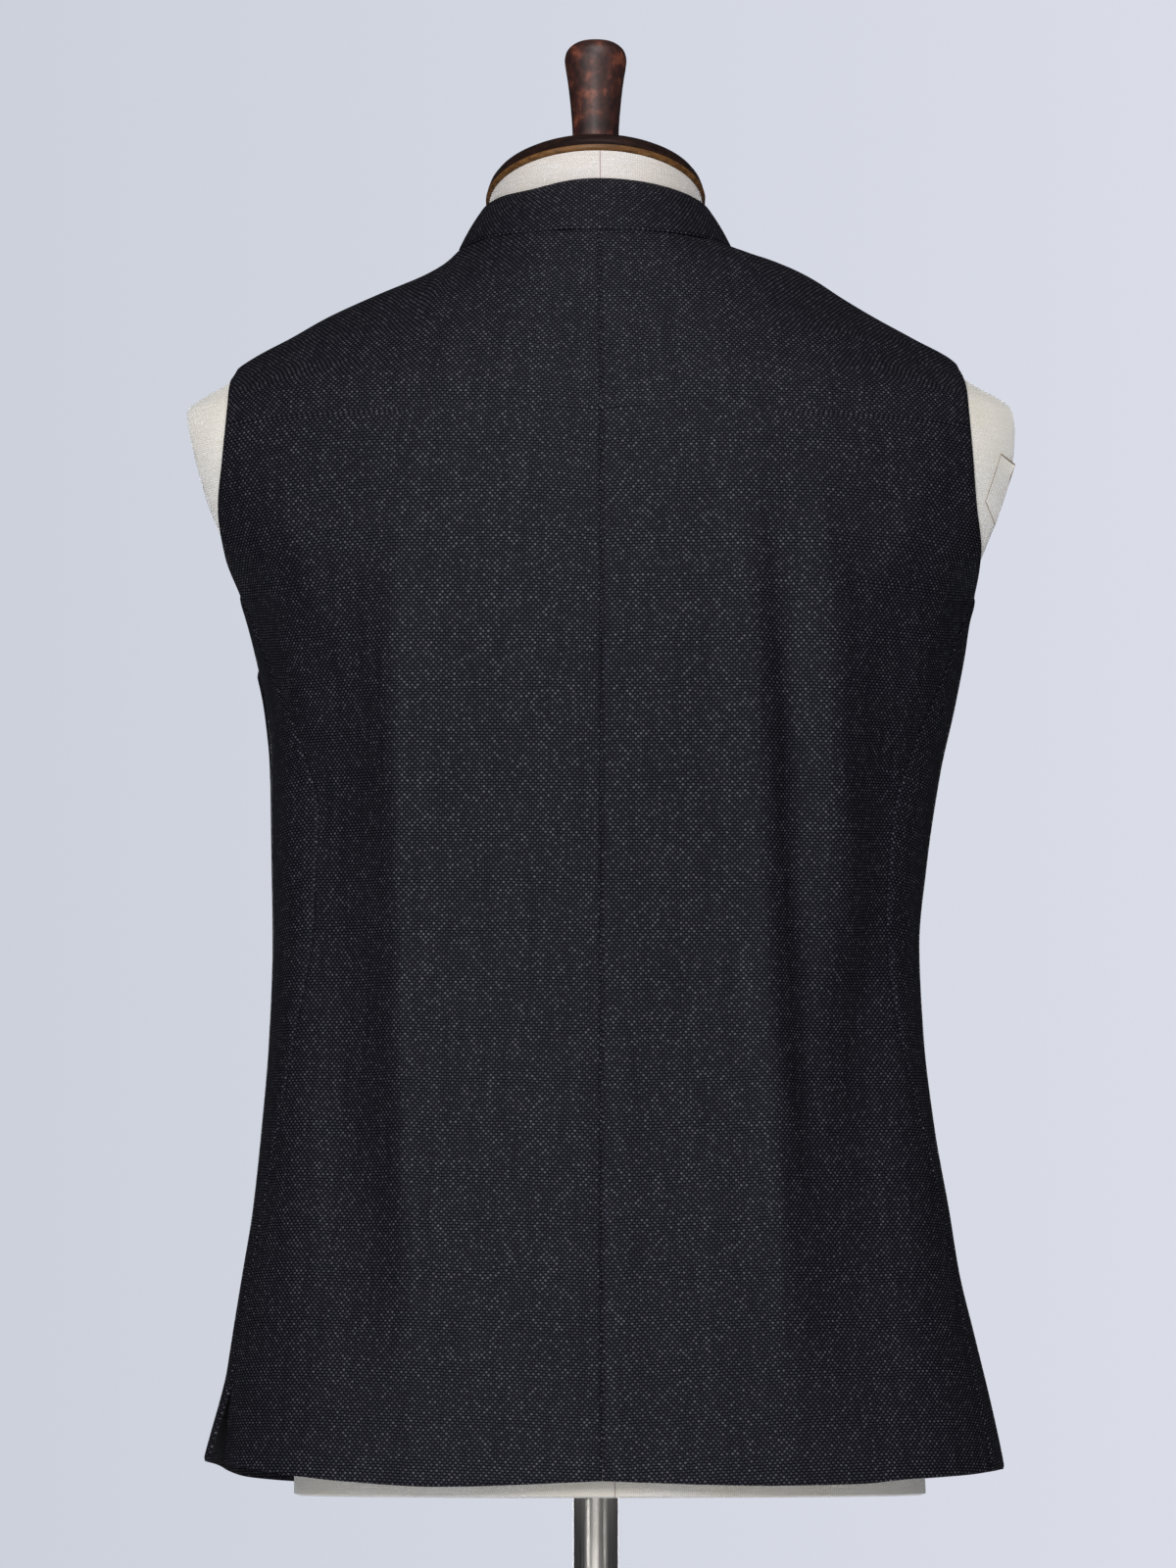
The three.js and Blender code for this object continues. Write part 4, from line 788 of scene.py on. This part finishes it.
def suiting():
    """Plain-weave wool blend with a slightly shiny weft, near black: small broken glints on the yarns are painted
    highlights in its colour, and raise its gloss.
    """
    material, bsdf, add = new_material("wool_suiting_plain_weave", Base_Color=hex_colour("#17171c"), Roughness=0.6,
                                       Specular_Tint=hex_colour("#e4e3ff"))
    uv = add("UVMap")
    cell, parity, height, row = plain_weave(add, uv, 0.00143, 0.00155, wobble=0.48)
    chance = add("TexWhiteNoise", (cell,), noise_dimensions="2D")
    patches = streaks(add, uv, (150, 16, 1), 4.0, 0.6)
    # The tone is low between the yarns and rows, and the base colour darkens with it: painted shade in the weave's
    # gaps, on the cloth's own near black.
    tone = add("Math", (row, 0.6, add("Math", (height, 0.4), operation="MULTIPLY")), operation="MULTIPLY_ADD")
    base = add("ValToRGB", (tone,), ((0.25, "#030305"), (0.7, "#08080d"), (1.0, "#101019")))
    # From here the glints: painted highlights that lighten the colour towards pale grey on the crowns of the weft
    # yarns, and also raise the specular level.
    lucky = add("Math", (chance, 4.0), operation="POWER")
    patchy = add("MapRange", {0: patches, 1: 0.3, 2: 0.7, 3: 0.07, 4: 0.15})
    bright = add("Math", (lucky, 0.24, patchy), operation="MULTIPLY_ADD")
    on_top = add("Math", (bright, parity), operation="MULTIPLY")
    painted_glint_and_gloss = add("Math", (on_top, add("Math", (height, 1.8), operation="POWER")), operation="MULTIPLY")
    colour = add("Mix", {0: painted_glint_and_gloss, 6: base, 7: hex_colour("#919099")}, data_type="RGBA").outputs[2]
    shine = add("MapRange", {0: tone, 1: 0.1, 2: 1.0, 3: 0.02, 4: 0.2})
    level = add("Math", (painted_glint_and_gloss, shine), operation="ADD")
    bump = add("Bump", {"Height": height, "Distance": 0.0004, "Strength": 0.5})
    connect(bsdf, {"Base Color": colour, "Specular IOR Level": level, "Normal": bump})
    return material


def satin():
    """Black acetate satin: smooth and glossy, with a fine streak along the warp."""
    material, bsdf, add = new_material("acetate_satin", Roughness=0.3)
    streak = streaks(add, add("UVMap"), (1100, 12, 1), 2.0)
    colour = add("ValToRGB", (streak,), ((0.3, "#08080a"), (0.7, "#17171c")))
    bump = add("Bump", {"Height": streak, "Distance": 0.0001, "Strength": 0.08})
    connect(bsdf, {"Base Color": colour, "Normal": bump})
    return material


def linen():
    """Unbleached linen canvas stretched over the form: even weave with slubs and faint yellowing."""
    material, bsdf, add = new_material("linen_canvas", Roughness=0.85, Sheen_Weight=1.0, Sheen_Roughness=0.4)
    uv, objects = add("UVMap"), add("TexCoord").outputs["Object"]
    height = plain_weave(add, uv, 0.0011, 0.0011, wobble=0.4)[2]
    slub = streaks(add, uv, (40, 900, 1), 2.0)
    age = add("TexNoise", {"Vector": objects, "Scale": 14.0, "Detail": 4.0})
    # The colour darkens towards the yarns' low points: painted shade in the weave's gaps, on the linen's own
    # off-white.
    colour = add("ValToRGB", (height,), ((0.0, "#dedbd5"), (0.7, "#f7f5f1"), (1.0, "#fdfcfa")))
    slubs = add("ValToRGB", (slub,), ((0.35, "#f7f4ef"), (0.65, "#fefdfc")))
    aged = add("ValToRGB", (age,), ((0.35, "#f8f4ec"), (0.6, "#ffffff")))
    # Above 1.5 m the linen is multiplied by a grey: painted shade that dims the neck, on which the key light falls
    # more strongly.
    x, y, z = add("SeparateXYZ", (objects,)).outputs
    painted_neck_shade = add("MapRange", {0: z, 1: 1.5, 2: 1.55})
    for share, tint in ((1.0, slubs), (0.8, aged), (painted_neck_shade, hex_colour("#e4e1e3"))):
        colour = add("Mix", {0: share, 6: colour, 7: tint}, data_type="RGBA", blend_type="MULTIPLY").outputs[2]
    # The cover's centre back seam runs slightly askew and shows as a thin brown line.
    slant = add("Math", (z, -0.00833, 0.01428), operation="MULTIPLY_ADD")
    off = add("Math", (add("Math", (x, slant), operation="ADD"),), operation="ABSOLUTE")
    line = add("MapRange", {0: off, 1: 0.0002, 2: 0.0006, 3: 0.55, 4: 0.0})
    seam = add("Math", (line, add("Math", (y, 0.0), operation="GREATER_THAN")), operation="MULTIPLY")
    colour = add("Mix", {0: seam, 6: colour, 7: hex_colour("#7d5b52")}, data_type="RGBA").outputs[2]
    relief = add("Math", (slub, 0.6, height), operation="MULTIPLY_ADD")
    bump = add("Bump", {"Height": relief, "Distance": 0.00025, "Strength": 0.5})
    connect(bsdf, {"Base Color": colour, "Normal": bump})
    return material


def cap_wood():
    """Beech stained nearly black and varnished: the varnish is worn to ochre along the lower edge of the rim."""
    material, bsdf, add = new_material("varnished_stained_beech", Roughness=0.45, Specular_IOR_Level=0.2,
                                       Coat_Weight=0.08, Coat_Roughness=0.2)
    objects = add("TexCoord").outputs["Object"]
    centred = add("Mapping", {"Vector": objects, "Location": (0, 0, -CAP_CENTRE_Z * MM)})
    level = add("Mapping", {"Vector": centred, "Rotation": (-CAP_TILT, 0, 0)})
    grain = streaks(add, level, (30, 400, 400), 3.0)
    dark = add("ValToRGB", (grain,), ((0.3, "#120b09"), (0.7, "#2c1a14")))
    worn = add("ValToRGB", (grain,), ((0.3, "#4a2f18"), (0.7, "#7d5730")))
    height = add("SeparateXYZ", (level,)).outputs["Z"]
    edge = add("Math", (grain, 0.002, height), operation="MULTIPLY_ADD")
    amount = add("MapRange", {0: edge, 1: 0.0041, 2: 0.0036, 3: 0.0, 4: 1.0})
    connect(bsdf, {"Base Color": add("Mix", {0: amount, 6: dark, 7: worn}, data_type="RGBA").outputs[2]})
    return material


def finial_wood():
    """Turned beech with red-brown stain under gloss varnish, mottled where hands have worn it."""
    material, bsdf, add = new_material("turned_stained_beech", Roughness=0.55, Coat_Weight=0.12, Coat_Roughness=0.35)
    objects = add("TexCoord").outputs["Object"]
    blotch = add("TexNoise", {"Vector": objects, "Scale": 120.0, "Detail": 4.0, "Roughness": 0.6})
    grain = streaks(add, objects, (700, 700, 40), 2.0)
    stain = add("ValToRGB", (blotch,), ((0.35, "#26120f"), (0.52, "#47231b"), (0.7, "#8a4c36")))
    shade = add("ValToRGB", (grain,), ((0.3, "#d3d3d3"), (0.7, "#ffffff")))
    colour = add("Mix", {0: 1.0, 6: stain, 7: shade}, data_type="RGBA", blend_type="MULTIPLY").outputs[2]
    connect(bsdf, {"Base Color": colour})
    return material


def brushed_steel():
    """Steel tube brushed lengthwise: fine vertical scratches and long narrow highlights."""
    material, bsdf, add = new_material("brushed_steel", Metallic=1.0, Roughness=0.3)
    lines = streaks(add, add("TexCoord").outputs["Object"], (2500, 2500, 12), 3.0)
    colour = add("ValToRGB", (lines,), ((0.25, "#a09c97"), (0.75, "#ccc8c2")))
    roughness = add("MapRange", {0: lines, 3: 0.22, 4: 0.36})
    bump = add("Bump", {"Height": lines, "Distance": 0.0001, "Strength": 0.25})
    connect(bsdf, {"Base Color": colour, "Roughness": roughness, "Normal": bump})
    return material


def clouded(name, scale, detail, stops, **shader):
    """A plain moulded, brushed-on or painted finish with a faint cloud in its colour."""
    material, bsdf, add = new_material(name, **shader)
    cloud = add("TexNoise", {"Vector": add("TexCoord").outputs["Object"], "Scale": scale, "Detail": detail})
    connect(bsdf, {"Base Color": add("ValToRGB", (cloud,), stops)})
    return material


SUITING, SATIN, LINEN = suiting(), satin(), linen()
# A brown finish for the torn linen's underside and rim, and for a line along its upper edge and curled corner.
BROWN_UNDER_AND_EDGE = clouded("brown_under_and_edge", 300.0, 2.0, ((0.35, "#6e5a48"), (0.7, "#9c8a74")), Roughness=0.6)
CAP_WOOD, FINIAL_WOOD, STEEL = cap_wood(), finial_wood(), brushed_steel()
# Black moulded buttons, polished, with a faint cloud in them.
HORN = clouded("polished_black_button", 220.0, 3.0, ((0.35, "#0b0b0d"), (0.7, "#1d1b1c")), Roughness=0.4,
               Specular_IOR_Level=0.35)


def hand_over(obj, slot, *nodes):
    """The piece stands for its CAD nodes, which it hides. The slot is not used."""
    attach(obj, "root")
    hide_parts(*nodes)
    return obj


# ---- Waistcoat -----------------------------------------------------------------------------------


def cut_panel(name, grid, node, rests_on, **rolls):
    """A cut piece of suiting, faced inside with satin."""
    return hand_over(cloth_sheet(name, grid, (SUITING, SATIN), "draped", rests_on, **rolls), "suiting", node)


def vent_facing(side):
    """The satin facing inside a front along its vent."""
    share = lerp(1 - 7 / FRONT_COLUMNS, 1 - 0.5 / FRONT_COLUMNS, stations(62, 3.0))[None, :]
    row = lerp(0.2, 1.85, stations(52, 3.0))[:, None] / 16
    z = front_low_z(side, share, row)
    point, normal = front_low(side, share, z, drop=CLOTH + 0.95)
    mask = np.ones(point.shape[:2], bool)
    return point, normal, mask, [], [point[0], point[-1], point[:, 0], point[:, -1]]


def buttons():
    """One button, turned and drilled, then copied down the closure."""
    calm()
    bpy.ops.mesh.primitive_cylinder_add(vertices=48, radius=BUTTON_RADIUS * MM, depth=BUTTON_THICKNESS * MM,
                                        location=(0, 0, BUTTON_THICKNESS / 2 * MM))
    first = bpy.context.object
    first.name = first.data.name = "button_1_face"
    bpy.ops.object.transform_apply(location=True)
    bpy.ops.object.mode_set(mode="EDIT")
    bpy.ops.mesh.select_all(action="DESELECT")
    mesh = bmesh.from_edit_mesh(first.data)
    mesh.faces.ensure_lookup_table()
    for face in mesh.faces:
        face.select = face.normal.z > 0.9
    bmesh.update_edit_mesh(first.data)
    bpy.ops.mesh.inset(thickness=BUTTON_RIM * MM)
    bpy.ops.mesh.inset(thickness=BUTTON_SLOPE * MM)
    bpy.ops.transform.translate(value=(0, 0, -BUTTON_DISH * MM))
    bpy.ops.object.mode_set(mode="OBJECT")
    for x, y in HOLE_PLACES:
        calm()
        bpy.ops.mesh.primitive_cylinder_add(vertices=16, radius=HOLE_RADIUS * MM, depth=9 * MM,
                                            location=(x * MM, y * MM, 0))
        drill = bpy.context.object
        active(first)
        hole = first.modifiers.new("hole", "BOOLEAN")
        hole.operation, hole.object, hole.solver = "DIFFERENCE", drill, "EXACT"
        bpy.ops.object.modifier_apply(modifier=hole.name)
        bpy.data.objects.remove(drill, do_unlink=True)
    active(first)
    soft = first.modifiers.new("edge", "BEVEL")
    soft.width, soft.segments, soft.limit_method, soft.angle_limit = BUTTON_BEVEL * MM, 3, "ANGLE", math.radians(35)
    bpy.ops.object.modifier_apply(modifier=soft.name)
    shade_smooth(first, 35)
    first.data.materials.clear()
    first.data.materials.append(HORN)
    pattern = first.data.copy()
    for i, z in enumerate(BUTTON_HEIGHTS):
        normal = ring_normal(LEFT, np.array([PI - 1e-3]), np.array([float(z)]))[0]
        place = ring_point(LEFT, np.array([PI]), np.array([float(z)]))[0] + normal * BUTTON_GAP
        normal[0] = 0
        turn = Vector((0, 0, 1)).rotation_difference(Vector(normal))
        obj = first if i == 0 else bpy.data.objects.new(f"button_{i + 1}_face", pattern.copy())
        if i:
            bpy.context.scene.collection.objects.link(obj)
        obj.data.transform(Matrix.Translation(Vector((0, place[1], place[2])) * MM) @ turn.to_matrix().to_4x4())
        hand_over(obj, "button_black", f"button_{i + 1}")
    bpy.data.meshes.remove(pattern)


# ---- Dress form and stand ------------------------------------------------------------------------


def neck_surface(angle, share):
    inset = lerp(NECK_INSET[0], NECK_INSET[1], smoothstep(-np.cos(angle), 0.3, 0.8))
    return lerp(neck_point(COLLAR_SEAM, angle, inset), neck_point(COLLAR_TOP, angle, inset), share)


def form_ring(z, size=240):
    """The form's outline at one height, with flat arm plates, and drawn in at the neck."""
    turn = np.linspace(0, 2 * PI, size, endpoint=False)
    result = np.zeros((size, 3))
    for side in (LEFT, RIGHT):
        here = turn <= PI if side == LEFT else turn > PI
        t = turn[here] if side == LEFT else 2 * PI - turn[here]
        c = np.cos(t)
        middle = np.where(c >= 0, form_inset["back"](z), form_inset["front"](z))
        inset = lerp(middle, form_inset[side](z), np.sin(t) ** 2) + FORM_CLEARANCE
        level = np.full_like(t, float(z))
        inwards = ring_normal(side, t, level) * np.array([1, 1, smoothstep(z, 1200, 1380)])
        point = ring_point(side, t, level) - unit(inwards) * inset[..., None]
        flat = (point[:, 2] > ARM_PLATE[0][0]) & (point[:, 2] < ARM_PLATE[-1][0])
        inner = side * np.minimum(np.abs(point[:, 0]), arm_plate[side](point[:, 2]))
        point[:, 0] = np.where(flat, inner, point[:, 0])
        result[here] = point
    # Above the collar seam the torso ends inside the neck.
    angle = np.arctan2(result[:, 0], result[:, 1] * NECK_HALF_WIDTH / NECK_BACK_Y)
    seam = neck_surface(angle, 0.0)
    share = np.clip((result[:, 2] - seam[:, 2]) / NECK_HEIGHT, 0, 1)[:, None]
    neck = lerp(seam, neck_surface(angle, 1.0), share)
    limit = np.linalg.norm(neck[:, :2], axis=1) - 1.2
    radius = np.linalg.norm(result[:, :2], axis=1)
    above = result[:, 2] > seam[:, 2] - 1.5
    shrink = np.where(above & (radius > limit), limit / radius, 1)
    result[:, :2] *= shrink[:, None]
    return result[::-1]


def form_body():
    lower_edge = FORM_BOTTOM_Z + np.array([0, 1, 2.5])
    body, shoulders = np.arange(FORM_BOTTOM_Z + 5, 1360, 8.0), np.arange(1360, FORM_TOP_Z, 4.0)
    rings = np.array([form_ring(z) for z in (*lower_edge, *body, *shoulders, FORM_TOP_Z)])
    # The cover turns under at the lower edge.
    rings[0, :, :2] *= 0.985
    return lofted("form_torso", rings, LINEN)


def torn_tongue():
    """A torn tongue of the cover at the right arm plate, lifting towards its upper corner."""
    s, t = np.meshgrid(np.append(np.linspace(0, 0.93, 12), 1), np.append([0, 0.025], np.linspace(0.06, 1, 19)))
    (a, b), (c, d) = (np.array(row) for row in TEAR)
    x, z = np.moveaxis(lerp(lerp(a, b, s[..., None]), lerp(c, d, s[..., None]), t[..., None]), -1, 0)
    x = np.maximum(x + 0.8 * np.sin(t * 9) * s, 0.3 - arm_plate[RIGHT](z))
    y = np.zeros_like(s)
    for at in np.ndindex(s.shape):
        ring = form_ring(z[at])
        ring = ring[(ring[:, 0] < -150) & (ring[:, 1] > 0)]
        ring = ring[np.argsort(ring[:, 1])][::-1]
        y[at] = np.interp(-x[at], -ring[:, 0], ring[:, 1])
    out = np.array([-0.55, 0.83, 0])
    lift = 0.55 + 2.6 * s ** 2 * (1 - t) ** 2 + 0.5 * (1 - s) * np.sin(PI * t)
    skin = (np.stack([x, y, z], -1) + out * lift[..., None]).reshape(-1, 3)
    quads = facing_out(skin, grid_quads(np.ones(s.shape, bool)), np.broadcast_to(out, skin.shape))
    # The upper edge and curled corner of the tongue are drawn in the brown finish, as a dark line.
    brown_line = np.zeros((t.shape[0] - 1, s.shape[1] - 1), int)
    brown_line[0], brown_line[:8, -1] = 1, 1  # its upper edge and curled corner are drawn brown
    place = np.stack([s * 8, -t * 30], -1).reshape(-1, 2) * MM
    return walled("torn_linen", skin, skin - out * 0.5, quads, place, (brown_line.ravel(), 1, 1), (LINEN, BROWN_UNDER_AND_EDGE), 40)


def form_neck():
    angle = -np.linspace(0, 2 * PI, 160, endpoint=False)
    rings = [neck_point(NECK_ROOT, angle)]
    rings += [neck_surface(angle, share) for share in np.linspace(0, 0.96, 12)]
    top = neck_point(NECK_TOP, angle)
    level = top.copy()
    level[:, 2] = CAP_CENTRE_Z + level[:, 1] * math.tan(CAP_TILT) - 0.3
    rings += [lerp(rings[-1], top, 0.5), top, level]
    return lofted("form_neck", np.array(rings), LINEN)


def turned_piece(name, profile, material, segments=96, place=Matrix()):
    """A piece turned about +Z: its profile is spun round in edit mode."""
    calm()
    mesh = bpy.data.meshes.new(name)
    mesh.from_pydata([(r * MM, 0, h * MM) for r, h in profile], [(i, i + 1) for i in range(len(profile) - 1)], [])
    obj = bpy.data.objects.new(name, mesh)
    bpy.context.scene.collection.objects.link(obj)
    active(obj)
    bpy.ops.object.mode_set(mode="EDIT")
    bpy.ops.mesh.select_all(action="SELECT")
    bpy.ops.mesh.spin(steps=segments, angle=2 * PI, center=(0, 0, 0), axis=(0, 0, 1))
    bpy.ops.mesh.select_all(action="SELECT")
    bpy.ops.mesh.remove_doubles(threshold=1e-6)
    bpy.ops.mesh.normals_make_consistent(inside=False)
    bpy.ops.object.mode_set(mode="OBJECT")
    shade_smooth(obj, 40)
    mesh.materials.append(material)
    mesh.transform(place)
    return obj


def smooth_profile(points, steps=6):
    """A finer profile through the given one, rounded as a turner's gouge leaves it."""
    p = np.array(points, float)
    length = distance_along(p)
    r, h = smooth_column(length, p[:, 0]), smooth_column(length, p[:, 1])
    t = np.unique(np.concatenate([np.linspace(a, b, steps + 1) for a, b in zip(length[:-1], length[1:])]))
    return list(zip(np.maximum(r(t), 0), h(t)))


def stand_pieces():
    tilt = Matrix.Translation((0, 0, CAP_CENTRE_Z * MM)) @ Matrix.Rotation(CAP_TILT, 4, "X")
    cap = [(0, 0)] + [(CAP_RADIUS - inset, height) for inset, height in CAP_RIM] + list(CAP_TOP)
    finial = [(0, FINIAL[0][1])] + smooth_profile(FINIAL, 4)
    pole = [(0, POLE_HEIGHTS[0])] + [(POLE_RADIUS, z) for z in POLE_HEIGHTS] + [(0, POLE_HEIGHTS[-1])]
    plate = [(0, 0)] + [(BASE_RADIUS - inset, height) for inset, height in BASE_RIM]
    plate += [(radius, BASE_THICKNESS + height) for radius, height in SOCKET]
    hand_over(turned_piece("cap_turned", cap, CAP_WOOD, 128, tilt), "cap_wood", "neck_cap")
    hand_over(turned_piece("finial_turned", finial, FINIAL_WOOD, 72), "finial_wood", "finial")
    hand_over(turned_piece("pole_tube", pole, STEEL, 96), "steel", "pole")
    hand_over(turned_piece("base_disc", plate, STEEL, 128), "steel", "base_plate")


# ---- Light and camera ----------------------------------------------------------------------------


def put_in(name, data, place, target):
    """A light or camera at its place, turned towards its target."""
    obj = bpy.data.objects.new(name, data)
    obj.location = place
    obj.rotation_euler = (Vector(target) - obj.location).to_track_quat("-Z", "Y").to_euler()
    bpy.context.scene.collection.objects.link(obj)
    return obj


def studio():
    scene = bpy.context.scene
    scene.view_settings.view_transform = "Standard"
    scene.world = bpy.data.worlds.new("studio")
    scene.world.use_nodes = True
    tree = scene.world.node_tree
    add = partial(add_node, tree)
    # The paper behind is palest on the right. It lights the object only dimly.
    across = add("MapRange", {0: add("SeparateXYZ", (add("TexCoord").outputs["Generated"],)), 1: 0.1, 2: -0.14})
    paper = add("ValToRGB", (across,), ((0.0, "#cbd0db"), (1.0, "#dadde8")))
    strength = add("MapRange", {0: add("LightPath").outputs["Is Camera Ray"], 3: 0.07, 4: 1.0})
    connect(tree.nodes["Background"], {"Color": paper, "Strength": strength})
    for name, place, aim, width, height, watts in LIGHTS:
        light = bpy.data.lights.new(name, "AREA")
        light.shape, light.size, light.size_y, light.energy = "RECTANGLE", width, height, watts
        put_in(name, light, place, (0, 0, aim))
    calm()
    bpy.ops.mesh.primitive_plane_add(size=FLOOR_SIZE, location=(0, 0, 0))
    floor = bpy.context.object
    floor.name = "floor"
    paint = clouded("pale_painted_floor", 3.0, 4.0, ((0.3, "#cfd2da"), (0.7, "#d8dbe2")), Roughness=0.7)
    floor.data.materials.append(paint)
    camera = bpy.data.cameras.new("camera")
    camera.lens, camera.sensor_width = LENS, SENSOR
    scene.camera = put_in("camera", camera, CAMERA_PLACE, CAMERA_TARGET)


studio()
torso = form_body()
hand_over(torso, "linen", "dress_form")
hand_over(torn_tongue(), "linen", "dress_form")
neck = form_neck()
hand_over(neck, "linen", "dress_form")
stand_pieces()
for hand in (LEFT, RIGHT):
    cut_panel(f"back_{WORD[hand]}_cloth", back_grid(hand), f"back_{WORD[hand]}", [torso])
    cut_panel(f"front_{WORD[hand]}_cloth", front_grid(hand), f"front_{WORD[hand]}", [torso])
    front = f"front_{WORD[hand]}_cloth"
    facing = cloth_sheet(f"vent_facing_{WORD[hand]}", vent_facing(hand), (SATIN,), "hung", [front], 0.8, 0.2, 0.2)
    hand_over(facing, "satin", f"vent_lining_{WORD[hand]}")
cut_panel("collar_cloth", collar_grid(), "collar", [neck], seam_roll=0.9, lay_flat=straight_strip)
buttons()
